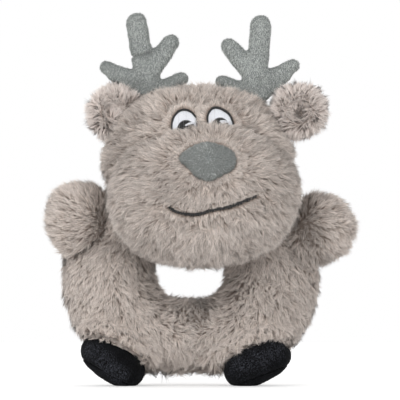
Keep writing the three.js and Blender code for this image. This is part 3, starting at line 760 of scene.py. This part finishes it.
def comb_fringe(points):
    """Off the ring and down over the hoof, forwards in front and backwards behind."""
    behind = smoothstep(10, 25, points[:, 1:2])
    return comb_down(points) + FORWARD * (1 - 2.0 * behind)


# Where the pile is left out


def keep_face(points):
    places = xz(points)
    clear = line_distance(MOUTH, places)[0] > 1.1
    clear &= line_distance(PHILTRUM, places)[0] > 0.9
    clear &= nose_share(places) > 0.97
    return clear | (points[:, 1] > FACE_DEPTH)


def nearer_eye(points):
    """How far points are from the nearer eye's middle, 1 at its outline."""
    return np.minimum(*[eye_share(xz(points), side) for side in EYE_CENTRES])


def keep_head(points):
    return keep_face(points) & ((nearer_eye(points) > 1.06) | (points[:, 1] > FACE_DEPTH))


def keep_eye_trim(points):
    return keep_head(points) & (nearer_eye(points) < 1.45) & (points[:, 1] < FACE_DEPTH)


def keep_muzzle_trim(points):
    places = xz(points)
    close = (line_distance(MOUTH, places)[0] < 4.5) | (nose_share(places) < 1.3)
    return keep_face(points) & close & (points[:, 1] < FACE_DEPTH)


def keep_chin(points):
    to_mouth, above = line_distance(MOUTH, xz(points))
    below = (above <= 0) & (to_mouth > 3.5) & (to_mouth < 24.0)
    return below & (points[:, 1] < 0.0)


HOOF_EDGES = {
    "left": photo_line([
        (80.3, 340), (86.7, 339.7), (98.3, 340.3), (108.3, 342.2), (118.3, 347.2), (128.3, 352.5),
        (136.7, 357.5), (140.8, 361.7), (143, 366.7),
    ]),
    "right": photo_line([
        (224.2, 366), (226.7, 361), (233, 354), (241.7, 349.7), (253, 344.7), (265, 341),
        (276.7, 341), (286.7, 343), (290.8, 345.8),
    ]),
}  # how far down the ring's pile covers the hooves
FRINGE_REACH = 0.8  # the fringe's tips hang this far below its roots
HOOF_CLEARANCE = 0.4
FACE_DEPTH = 5.0  # behind this, the pile isn't left out for the face


def keep_fringe(points, side):
    edge = HOOF_EDGES[side]
    return points[:, 2] > np.interp(points[:, 0], edge[:, 0], edge[:, 1]) + FRINGE_REACH


def keep_ring(points):
    return distances(HOOF_TREE, points, 5.0) > HOOF_CLEARANCE


# Shade, length, lift and disorder by place


def mood_of(points, shade=0.0, length=1.0, lift=0.0, disorder=1.0):
    return np.stack([np.broadcast_to(v, len(points)) for v in (shade, length, lift, disorder)], axis=1)


def fading(distance, size):
    """1 at no distance, fading away over a size in millimetres."""
    return np.exp(-(distance / size) ** 2)


def near_line(points, line, size):
    return fading(line_distance(line, xz(points))[0], size)


def spot(points, px, py, size):
    """A soft round spot on the front, centred on a pixel of the photograph."""
    distance = polar(xz(points), photo_place(px, py))[1]
    return fading(distance, size) * front_share(points, *FRONT_HALF)


def spots(points, table):
    """Spots with a weight each."""
    return sum(weight * spot(points, *where) for weight, *where in table)


def streak(points, pixels, size):
    """A soft line on the front along pixels of the photograph."""
    return near_line(points, photo_line(pixels), size) * front_share(points, *FRONT_HALF)


FRONT_HALF = (30.0, 15.0)  # what the photograph shows ends between these depths
# Pixels of the photograph. A spot has its weight before them and its size in millimetres after them.
# painted shade on the cheeks
CHEEKS = [(1.0, 122, 145, 14.0), (0.7, 286, 165, 10.0), (0.6, 170, 182, 10.0)]
UNDER_EYES = [(0.5, 187, 131, 7.0), (0.3, 221, 128, 6.0)]
# painted shade where the ears meet the head
EAR_FOOT_SHADE = [(1.0, 142, 118, 8.0), (1.0, 270, 110, 8.0)]
# painted shade in the nooks between the arms and the ring
ARM_NOOK_SHADE = [(1.0, 118, 246, 9.0), (1.0, 302, 226, 9.0)]
# painted shade in patches beside the hole
RING_SHADE_PATCHES = [(1.0, 242, 286, 10.0), (0.7, 280, 302, 22.0)]
# painted light on the nose
NOSE_LIGHTS = [(1.0, 205, 150, 5.0), (1.0, 212, 176, 4.0)]
# painted shade along the nose's lower edge
NOSE_SHADE = [(181, 160), (190, 170), (198, 178)]
# a painted sheen on the hooves
HOOF_PAINTED_SHEENS = [([(93, 350), (105, 361), (118, 374)], 6.5), ([(240, 365), (256, 357), (273, 350)], 7.5)]
# painted shade where the arms turn in to the head
ARM_SHADE_BANDS = {
    "left": [(107, 214), (109, 232), (94, 252)],
    "right": [(302, 214), (310, 236), (321, 258)],
}
EAR_HOLLOWS = {"left": (108, 123, 5.0, 0.1), "right": (303, 116, 4.6, 1.45)}  # pixel, size and darkness of the painted shade in the hollow, which also shortens its pile
ANTLER_FOLD = (photo_line([(131.4, 56.2), (141.0, 54.3), (151.0, 51.6)]), 1.3)  # line and size
# painted shade in a crease of the nose
NOSE_CREASE_SHADE = (photo_line([(215.4, 144.5), (217.0, 150.4), (213.8, 154.8)]), 1.4)
# creases of the brows: sunk into the skin, with painted shade along them
BROWS = [
    [(169, 112), (172.5, 108), (178, 105), (184, 104), (190, 104), (197, 107)],
    [(207, 105), (214, 105), (220, 106), (229, 109), (236, 116)],
]
# folds of the face: sunk into the skin, with painted shade along them
FURROWS = [
    [(243, 108), (258, 113), (271, 120), (283, 131), (291, 142)],
    [(240, 124), (252, 134), (268, 149), (286, 163)],
    [(256, 197), (262, 204), (262, 213)],
    [(168, 137), (155, 140), (140, 146), (127, 153), (117, 164), (112, 178)],
    [(150, 120), (137, 128), (126, 138), (117, 148)],
]


def face_mood(points):
    """Shorter towards the mouth and the nose. Painted shade on the cheeks and in the furrows; the chin
    paler, with blotches of painted light and shade on its tufts.
    """
    places = xz(points)
    front = front_share(points)
    to_mouth, above = line_distance(MOUTH, places)
    over = (0.9 * to_mouth - 0.2) / LONG_PILE["length"]
    under = 0.4 + 0.6 * smoothstep(0, 7, to_mouth)
    near = np.clip(np.where(above > 0, over, under), 0.12, 1.0)
    share = np.where(to_mouth < 12.0, near, 1.0)
    share = np.minimum(share, 0.35 + 0.65 * smoothstep(1.0, 1.6, nose_share(places)))
    flatter = np.where(above > 0, smoothstep(9, 2, to_mouth), 0.0)
    # painted shade on the cheeks, whose pile is also more tousled
    cheeks = spots(points, CHEEKS)
    chin = spot(points, 205, 240, 24.0)
    # painted shade in the furrows, whose pile is also shorter
    furrows = sum(streak(points, pixels, 1.8) for pixels in FURROWS)
    fuller = 1 + 0.2 * chin - spots(points, UNDER_EYES) - 0.3 * furrows
    return mood_of(
        points,
        # painted shade on the cheeks and in the furrows; painted light and shade in blotches on the chin's
        # tufts
        shade=-0.1 - 0.3 * cheeks - 0.5 * furrows + chin * (0.35 + blotches(points, 4.5, 16, 1.2)),
        length=(share * front + (1 - front)) * fuller,
        lift=0.15 * chin - 0.25 * flatter * front,
        disorder=1 + 0.9 * chin + 0.5 * cheeks - 0.6 * flatter * front,
    )


def head_mood(points):
    """Short and pale round the eyes, with painted shade in the creases of the brows and where the ears meet
    the head.
    """
    mood = face_mood(points)
    mood[:, 0] += 0.15
    front = front_share(points)
    for side in EYE_CENTRES:
        eye = eye_share(xz(points), side)
        mood[:, 0] += 0.25 * smoothstep(1.6, 1.05, eye) * front
    mood[:, 1] = np.minimum(mood[:, 1], 1 - 0.55 * smoothstep(2.0, 1.1, nearer_eye(points)) * front)
    # painted shade where the ears meet the head
    mood[:, 0] -= 0.35 * spots(points, EAR_FOOT_SHADE)
    # painted shade in the creases of the brows, whose pile is also shorter
    for brow in BROWS:
        mood[:, 0] -= 0.8 * streak(points, brow, 1.7)
        mood[:, 1] *= 1 - 0.55 * streak(points, brow, 1.7)
    return mood


def trim_mood(points):
    """Short pile right up to the embroidery and the nose."""
    places = xz(points)
    to_mouth, above = line_distance(MOUTH, places)
    over = np.clip((to_mouth - 0.7) / TRIM_PILE["length"], 0.2, 1.0)
    return mood_of(points, shade=-0.03, length=np.where((above > 0) & (to_mouth < 6.0), over, 1.0))


def chin_mood(points):
    """Shorter away from the middle of the chin."""
    return mood_of(points, shade=0.12, length=0.35 + 0.65 * spot(points, 208, 232, 30.0))


def ring_mood(points):
    """Tousled at the whorl, ragged at the hem. Painted shade at the whorl, in patches beside the hole, in
    the arms' nooks and round the hole; painted light on the left side, at the hem and over the hooves.
    """
    whorl = spot(points, 198, 311, 14.0)
    patches = spots(points, RING_SHADE_PATCHES)
    from_middle = polar(xz(points), xz(RING_MIDDLE[None]))[1]
    hole = smoothstep(48, 38, from_middle)
    hem = smoothstep(32, 14, points[:, 2])
    over = smoothstep(13, 5, distances(HOOF_TREE, points, 15.0)) * smoothstep(20, 30, points[:, 2])
    # painted shade at the whorl, in patches, in the arms' nooks and round the hole; painted light on the
    # left side, at the hem and over the hooves
    shade = 0.16 + 0.12 * spot(points, 95, 290, 18.0) - 0.95 * whorl - 0.2 * patches
    shade = shade - 0.35 * spots(points, ARM_NOOK_SHADE) - 0.05 * hole + 0.6 * hem + 0.45 * over
    return mood_of(
        points,
        shade=shade,
        length=1 - 0.2 * whorl - 0.15 * hole + hem * blotches(points, 4.5, 15, 1.0),
        lift=0.3 * whorl + 0.1 * patches + 0.35 * hole,
        disorder=1 + 2.5 * whorl + patches + 0.6 * hole + hem,
    )


def arm_mood(points, side):
    """Painted shade along the band where the arm turns in to the head."""
    band = streak(points, ARM_SHADE_BANDS[side], 8.0)
    return mood_of(points, 0.17 - 0.55 * band, 0.9 - 0.15 * band, 0.35 * band, 1 + 1.2 * band)


def ear_mood(points, side):
    """Painted light all over, and painted shade and shorter pile in the ear's hollow."""
    *place, size, depth = EAR_HOLLOWS[side]
    hollow = spot(points, *place, size)
    length = 0.92 - 0.25 * depth * hollow
    return mood_of(points, 0.33 - depth * hollow, length, 0.3 * hollow, 1 + hollow)


def antler_mood(points):
    """Painted light towards the tips and to the right, painted shade at the foot and in the fold."""
    mottle = blotches(points, 12.0, 6, 0.3)
    # painted light towards the tips and to the right, painted shade at the foot and in the fold
    height = smoothstep(215, 275, points[:, 2])
    lit = 0.15 * smoothstep(0, 30, points[:, 0])
    foot_shade = smoothstep(236, 218, points[:, 2])
    shade = mottle - 0.6 * near_line(points, *ANTLER_FOLD) + 0.02 + 0.25 * height - 0.3 * foot_shade + lit
    return mood_of(points, shade=shade)


def nose_mood(points):
    """Faint rays from the speck, painted shade along the lower edge and on the right, painted light in two
    patches, and painted shade in a crease on the right.
    """
    angle, reach = polar(xz(points), NOSE_SPECK)
    rays = np.stack([13.0 * np.cos(angle), 13.0 * np.sin(angle), 0.1 * reach], axis=1)
    streaks = blotches(rays, 1.0, 8, 0.4)
    dim = streak(points, NOSE_SHADE, 2.5) + spot(points, 226, 158, 6.0)
    shade = streaks - 0.6 - 0.6 * dim + 0.25 * spots(points, NOSE_LIGHTS)
    shade = shade - 0.3 * near_line(points, *NOSE_CREASE_SHADE) + 0.8 * fading(reach, 1.3)
    return mood_of(points, shade=shade)


def hoof_mood(points):
    """Crushed velvet: a painted sheen along its middle, and streaks and patches all over."""
    sheen = sum(streak(points, pixels, size) for pixels, size in HOOF_PAINTED_SHEENS)
    crushed = blotches(points, 1.8, 9, 0.05) + blotches(points, 8.0, 10, 0.3)
    return mood_of(points, shade=crushed + 0.7 * sheen - 0.1)


# Long-pile pieces

HEAD_CROWD = 11.0  # the ears lay their neighbours' pile flat over a wide band
EAR_CROWD = 2.0
EARS = {"left": ((111, 121), 0.3, 21), "right": ((303, 116), -0.3, 22)}  # parting, swirl and seed
ARMS = {"left": ((116, 238), 31), "right": ((302, 224), 32)}  # parting and seed
skins = {node: fur_skin(node) for node in FUR_NODES}
grow(skins["ring_body"], RING_PILE, comb_ring, 11, TAUPE_PILE, ring_mood, keep_ring)
grow(skins["head"], FACE_PILE, comb_head, 12, TAUPE_PILE, head_mood, keep_head, crowd=HEAD_CROWD)
grow(skins["muzzle"], FACE_PILE, comb_face, 13, TAUPE_PILE, face_mood, keep_face)
grow(skins["muzzle"], CHIN_PILE, comb_chin, 16, TAUPE_PILE, chin_mood, keep_chin, kind="tufts")
grow(skins["head"], TRIM_PILE, comb_head, 14, TAUPE_PILE, trim_mood, keep_eye_trim, kind="trim")
grow(skins["muzzle"], TRIM_PILE, comb_face, 15, TAUPE_PILE, trim_mood, keep_muzzle_trim, kind="trim")
for side, (parting, swirl, seed) in EARS.items():
    comb = partial(comb_from, pixel=parting, swirl=swirl)
    mood = partial(ear_mood, side=side)
    grow(skins[f"ear_{side}"], EAR_PILE, comb, seed, EAR_TAUPE_PAINTED_LIGHT, mood, crowd=EAR_CROWD)
for side, (parting, seed) in ARMS.items():
    comb = partial(comb_from, pixel=parting)
    grow(skins[f"arm_{side}"], ARM_PILE, comb, seed, TAUPE_PILE, partial(arm_mood, side=side))


# Ear linings, antlers, nose and hooves


def relief(obj, depth_at):
    """Moves a skin out by a depth for each point."""
    points, triangles = read_mesh(obj.data)
    write_points(obj.data, points + vertex_normals(points, triangles) * depth_at(points)[:, None])


def antler_relief(points):
    """Puckers of the stuffed fabric, and the fold across the left beam."""
    pucker = blotches(points, 8.0, 12, 0.6) + blotches(points, 3.0, 13, 0.15)
    return pucker - ANTLER_FOLD_DEPTH * near_line(points, *ANTLER_FOLD)


ANTLER_WEBS = {
    "left": photo_line([(138.0, 103.0), (102.0, 72.0)]),
    "right": photo_line([(262.0, 103.0), (296.0, 73.0)]),
}  # the straight lower edges from the feet to the outer tines
WEB_DEPTH = 10.0
ANTLER_FOLD_DEPTH = 1.6
NOSE_STEPS = 48  # around the nose's outline
LINING_SWIRLS = {"left": 0.5, "right": -0.5}


def web(obj, side):
    """Fills the corner under an antler's outer tine."""
    points, triangles = read_mesh(obj.data)
    low, high = ANTLER_WEBS[side]
    along = (high - low) / norm(high - low)
    out = np.array([along[1], -along[0]]) * (1.0 if side == "right" else -1.0)
    away = xz(points) - low
    short = -(away @ out)
    share = (away @ along) / norm(high - low)
    weight = smoothstep(-0.1, 0.1, share) * smoothstep(1.05, 0.8, share)
    weight *= smoothstep(WEB_DEPTH + 1.0, WEB_DEPTH - 2.0, short) * (short > 0.0)
    weight *= smoothstep(-0.2, 0.4, xz(vertex_normals(points, triangles)) @ out)
    points[:, [0, 2]] += out * (short * weight)[:, None]
    write_points(obj.data, points)


def hoof_relief(points):
    """Uneven stuffing, but flat soles."""
    return blotches(points, 12.0, 14, 0.8) * smoothstep(0.5, 5.0, points[:, 2])


def shape_nose(obj):
    """Brings the button to the outline that it has in the photograph."""
    points = read_mesh(obj.data)[0]
    places = xz(points)
    angles, reach = polar(places, NOSE)
    steps = np.linspace(-math.pi, math.pi, NOSE_STEPS + 1)
    own = np.array([reach[np.abs(angles - a) < math.tau / NOSE_STEPS].max() for a in steps])
    scale = outline_radius(NOSE_OUTLINE, NOSE, angles) / np.interp(angles, steps, own)
    points[:, [0, 2]] = NOSE + (places - NOSE) * scale[:, None]
    write_points(obj.data, points)


for side in ("left", "right"):
    ear = f"ear_{side}"
    cup = f"ear_lining_{side}"
    obj = remeshed(cup, 0.6, 2, TAUPE_CLOTH, ear)
    skin = skin_of(obj, cup, ear, "ear_lining")
    comb = partial(comb_from, pixel=EAR_HOLLOWS[side][:2], swirl=LINING_SWIRLS[side])
    grow(skin, LINING_PILE, comb, 41, EAR_TAUPE_PAINTED_LIGHT, partial(ear_mood, side=side))
    antler = f"antler_{side}"
    obj = remeshed(antler, 1.1, 10, GREY_CLOTH, antler)
    relief(obj, antler_relief)
    web(obj, side)
    grow(skin_of(obj, antler, antler, "short_pile"), SHORT_PILE, comb_down, 42, GREY_PILE, antler_mood)

for node in HOOVES:
    obj = remeshed(node, 1.2, 5, VELVET_CLOTH, "body")
    relief(obj, hoof_relief)
    skin = skin_of(obj, node, "body", "black_velvet")
    grow(skin, VELVET_NAP, comb_down, 43, VELVET_PILE, hoof_mood)
    if "upper" in node:
        skin["slot"] = "long_pile"
        keep = partial(keep_fringe, side=node.split("_")[-1])
        # painted light on the fringe, against the shade under the ring
        mood = partial(mood_of, shade=0.35)
        grow(skin, FRINGE_PILE, comb_fringe, 45, TAUPE_PILE, mood, keep, kind="fringe")

obj = remeshed("nose", 1.0, 8, GREY_CLOTH, "body")
shape_nose(obj)
grow(skin_of(obj, "nose", "body", "short_pile"), NOSE_PILE, comb_nose, 44, GREY_PILE, nose_mood)

# Embroidery, laid thread by thread

THREAD_RADIUS = 0.23
THREAD_PITCH = 0.37
THREAD_SIDES = 6
THREAD_RINGS = [
    (0.0, -0.35, 0.5), (0.1, 0.6, 0.95), (0.35, 1.0, 1.0),
    (0.65, 1.0, 1.0), (0.9, 0.6, 0.95), (1.0, -0.35, 0.5),
]  # place along the thread, rise and taper
THREAD_LAYER = 0.45  # between fields that are stitched over each other
IN_FRONT = -200.0


def on_surface(surface, place):
    """The point and normal of the skin at a place, seen from the front."""
    start = Vector((place[0], IN_FRONT, place[1]))
    point, normal, _, _ = surface.ray_cast(start, Vector((0.0, 1.0, 0.0)))
    return (None, None) if point is None else (np.array(point), np.array(normal))


def thread_faces():
    """The faces of one thread, closed at both ends."""
    sides = THREAD_SIDES
    last = (len(THREAD_RINGS) - 1) * sides
    faces = []
    for ring in range(0, last, sides):
        for k in range(sides):
            a, b = ring + k, ring + (k + 1) % sides
            faces += [(a, a + sides, b + sides), (a, b + sides, b)]
    faces += [(0, k, k + 1) for k in range(1, sides - 1)]
    return faces + [(last, last + k + 1, last + k) for k in range(1, sides - 1)]


def thread_mesh(name, stitches, surface, layer=0, bulge=0.3, radius=THREAD_RADIUS):
    """Closed round threads. A stitch arches over the skin from one place to another."""
    turns = np.arange(THREAD_SIDES) * math.tau / THREAD_SIDES
    threads = []
    for start, end in stitches:
        heading = np.append(end - start, 0.0)[[0, 2, 1]]
        heading = heading / norm(heading)
        rings = []
        for t, rise, taper in THREAD_RINGS:
            point, normal = on_surface(surface, start + (end - start) * t)
            if point is None:
                break
            across = np.cross(heading, normal)
            across = across / norm(across)
            middle = point + normal * (radius * 0.6 + layer * THREAD_LAYER + bulge * rise)
            circle = np.outer(np.cos(turns), across) + np.outer(np.sin(turns), normal)
            rings.append(middle + radius * taper * circle)
        if len(rings) == len(THREAD_RINGS):
            threads.append(np.concatenate(rings))
    faces = repeated(thread_faces(), len(threads), len(threads[0]))
    return array_mesh(name, np.concatenate(threads), faces)


def smooth_line(line, pitch):
    """A line's points at even steps, rounded at its corners."""
    for _ in range(2):
        cut = [line[0]]
        for a, b in zip(line[:-1], line[1:]):
            cut += [a * 0.75 + b * 0.25, a * 0.25 + b * 0.75]
        line = np.array(cut + [line[-1]])
    steps = np.concatenate([[0.0], np.cumsum(norm(np.diff(line, axis=0), axis=1))])
    at = np.arange(0.0, steps[-1], pitch)
    return np.stack([np.interp(at, steps, line[:, 0]), np.interp(at, steps, line[:, 1])], axis=1)


def band_stitches(line, width, slant, rng, ragged=0.12):
    """Satin stitches across a line."""
    places = smooth_line(line, THREAD_PITCH)
    along = unit(np.gradient(places, axis=0))
    across = unit(np.stack([-along[:, 1], along[:, 0]], axis=1) + slant * along)
    reach = width / 2.0 * (1 + ragged * rng.normal(size=(len(places), 2)))
    return [(p - d * r[0], p + d * r[1]) for p, d, r in zip(places, across, reach)]


def span_of(outline, level, axis):
    """Where a straight line at a level crosses a closed outline."""
    other = 1 - axis
    found = []
    for a, b in zip(outline, np.roll(outline, -1, axis=0)):
        if (a[axis] - level) * (b[axis] - level) < 0.0:
            t = (level - a[axis]) / (b[axis] - a[axis])
            found.append(a[other] + (b[other] - a[other]) * t)
    return (min(found), max(found)) if len(found) > 1 else None


def field_stitches(outline, axis, rng, longest=30.0):
    """Parallel stitches that fill an outline, side by side along an axis: 0 for X, 1 for Z."""
    low, high = outline[:, axis].min(), outline[:, axis].max()
    stitches = []
    for level in np.arange(low + THREAD_PITCH / 2.0, high, THREAD_PITCH):
        span = span_of(outline, level, axis)
        if span is None:
            continue
        level += 0.05 * rng.normal()
        cuts = [span[0] - 0.15 * rng.random(), span[1] + 0.15 * rng.random()]
        if cuts[1] - cuts[0] > longest:
            cuts.insert(1, cuts[0] + (cuts[1] - cuts[0]) * rng.uniform(0.35, 0.65))
        for a, b in zip(cuts[:-1], cuts[1:]):
            ends = [(level, a), (level, b)] if axis == 0 else [(a, level), (b, level)]
            stitches.append((np.array(ends[0]), np.array(ends[1])))
    return stitches


def disc(px, py, radius):
    turns = np.linspace(0.0, math.tau, DISC_SIDES, endpoint=False)
    return photo_place(px, py) + radius * PIXEL * np.stack([np.cos(turns), np.sin(turns)], axis=1)


DISC_SIDES = 32
EYE_BAND_WIDTH = 1.55
MOUTH_WIDTH = 2.3
MOUTH_RAGGED = 0.38
PHILTRUM_PITCH = 0.3
PHILTRUM_RADIUS = 0.24
BAND_SLANT = {"eye": 0.3, "mouth": 0.35}
head_surface, muzzle_surface = (
    search_tree(skins[node]["points"], skins[node]["triangles"]) for node in ("head", "muzzle")
)
SATINS = {"white": WHITE_SATIN, "black": BLACK_SATIN}
rng = np.random.default_rng(51)


def embroider(node, stitches, surface, colour, **settings):
    mesh = thread_mesh(f"{node}_threads", stitches, surface, **settings)
    new_object(f"{node}_threads", mesh, SATINS[colour], "body", (node,))


for side in ("left", "right"):
    arch = photo_line(EYE_ARCHES[side])
    white = field_stitches(smooth_line(arch, 1.0), 0, rng)
    band = band_stitches(arch, EYE_BAND_WIDTH, BAND_SLANT["eye"], rng)
    pupil = field_stitches(disc(*PUPILS[side]), 0, rng)
    glint = field_stitches(photo_line(GLINTS[side]), 1, rng)
    embroider(f"eye_white_{side}", white, head_surface, "white")
    embroider(f"eye_outline_{side}", band, head_surface, "black", layer=1, bulge=0.5)
    embroider(f"pupil_{side}", pupil, head_surface, "black", layer=1)
    embroider(f"eye_glint_{side}", glint, head_surface, "white", layer=2)

mouth = band_stitches(MOUTH, MOUTH_WIDTH, BAND_SLANT["mouth"], rng, MOUTH_RAGGED)
embroider("mouth_stitch", mouth, muzzle_surface, "black", layer=2, bulge=0.7)
shifts = (-PHILTRUM_PITCH / 2.0, PHILTRUM_PITCH / 2.0)
philtrum = [(PHILTRUM[0] + (shift, 0.0), PHILTRUM[-1] + (shift, 0.0)) for shift in shifts]
embroider("philtrum_stitch", philtrum, muzzle_surface, "black", layer=2, radius=PHILTRUM_RADIUS)

# Squeaker, inside

for node, material in (("squeaker_bulb", BULB_PLASTIC), ("squeaker_valve", VALVE_PLASTIC)):
    mesh = frame["nodes"][node].data
    mesh.materials.clear()
    mesh.materials.append(material)

# Stage, light and camera

FLOOR_GLOW = 0.45  # brings the lit floor up to white for the camera
FLOOR_REACH = 1.5
FLOOR_DROP = 0.0002
LAMP_SIZE = 1.4
LAMP_TARGET = (0.0, 0.0, 0.15)
CAMERA_DISTANCE = 5.0  # far enough that the view is almost parallel
SENSOR_WIDTH = 36.0


def aimed(name, data, place, target):
    """A lamp or the camera, at a place and turned to a target."""
    obj = placed(name, data)
    obj.location = place
    obj.rotation_euler = (Vector(target) - Vector(place)).to_track_quat("-Z", "Y").to_euler()
    return obj


def stage():
    m = Nodes(bpy.data.materials.new("white_stage"))
    glow = m.add("ShaderNodeMath", m.seen_directly(), FLOOR_GLOW, operation="MULTIPLY").outputs[0]
    m.set(Base_Color=(0.8, 0.8, 0.8, 1.0), Roughness=0.9, Specular_IOR_Level=0.0)
    m.set(Emission_Color=(1.0, 1.0, 1.0, 1.0), Emission_Strength=glow)
    mesh = bpy.data.meshes.new("floor")
    corners = [(x * FLOOR_REACH, y * FLOOR_REACH, 0.0) for x, y in ((-1, -1), (1, -1), (1, 1), (-1, 1))]
    mesh.from_pydata(corners, [], [(0, 1, 2, 3)])
    mesh.materials.append(m.owner)
    floor = placed("floor", mesh)
    floor.location.z = -FLOOR_DROP


def world(strength):
    studio = bpy.data.worlds.new("studio")
    bpy.context.scene.world = studio
    w = Nodes(studio)
    w.tree.nodes.clear()
    white = (1.0, 1.0, 1.0, 1.0)
    lights = [w.add("ShaderNodeBackground", white, level).outputs[0] for level in (strength, 1.0)]
    mix = w.add("ShaderNodeMixShader", w.seen_directly(), *lights)
    w.add("ShaderNodeOutputWorld", mix.outputs[0])


def lamp(name, place, watts):
    data = bpy.data.lights.new(name, "AREA")
    data.energy = watts
    data.size = LAMP_SIZE
    aimed(name, data, place, LAMP_TARGET)


def camera():
    data = bpy.data.cameras.new("camera")
    data.sensor_width = SENSOR_WIDTH
    data.lens = SENSOR_WIDTH * CAMERA_DISTANCE / (PHOTO_SIZE * PIXEL / METRE)
    x, z = photo_place(PHOTO_SIZE / 2, PHOTO_SIZE / 2) / METRE
    bpy.context.scene.camera = aimed("camera", data, (x, -CAMERA_DISTANCE, z), (x, 0.0, z))


stage()
world(strength=0.65)
lamp("key", (-1.0, -1.7, 0.9), watts=17.5)
lamp("fill", (1.2, -1.5, 0.5), watts=7.5)
lamp("rear", (0.2, 1.4, 1.2), watts=8.0)
camera()
bpy.context.scene.view_settings.view_transform = "Standard"
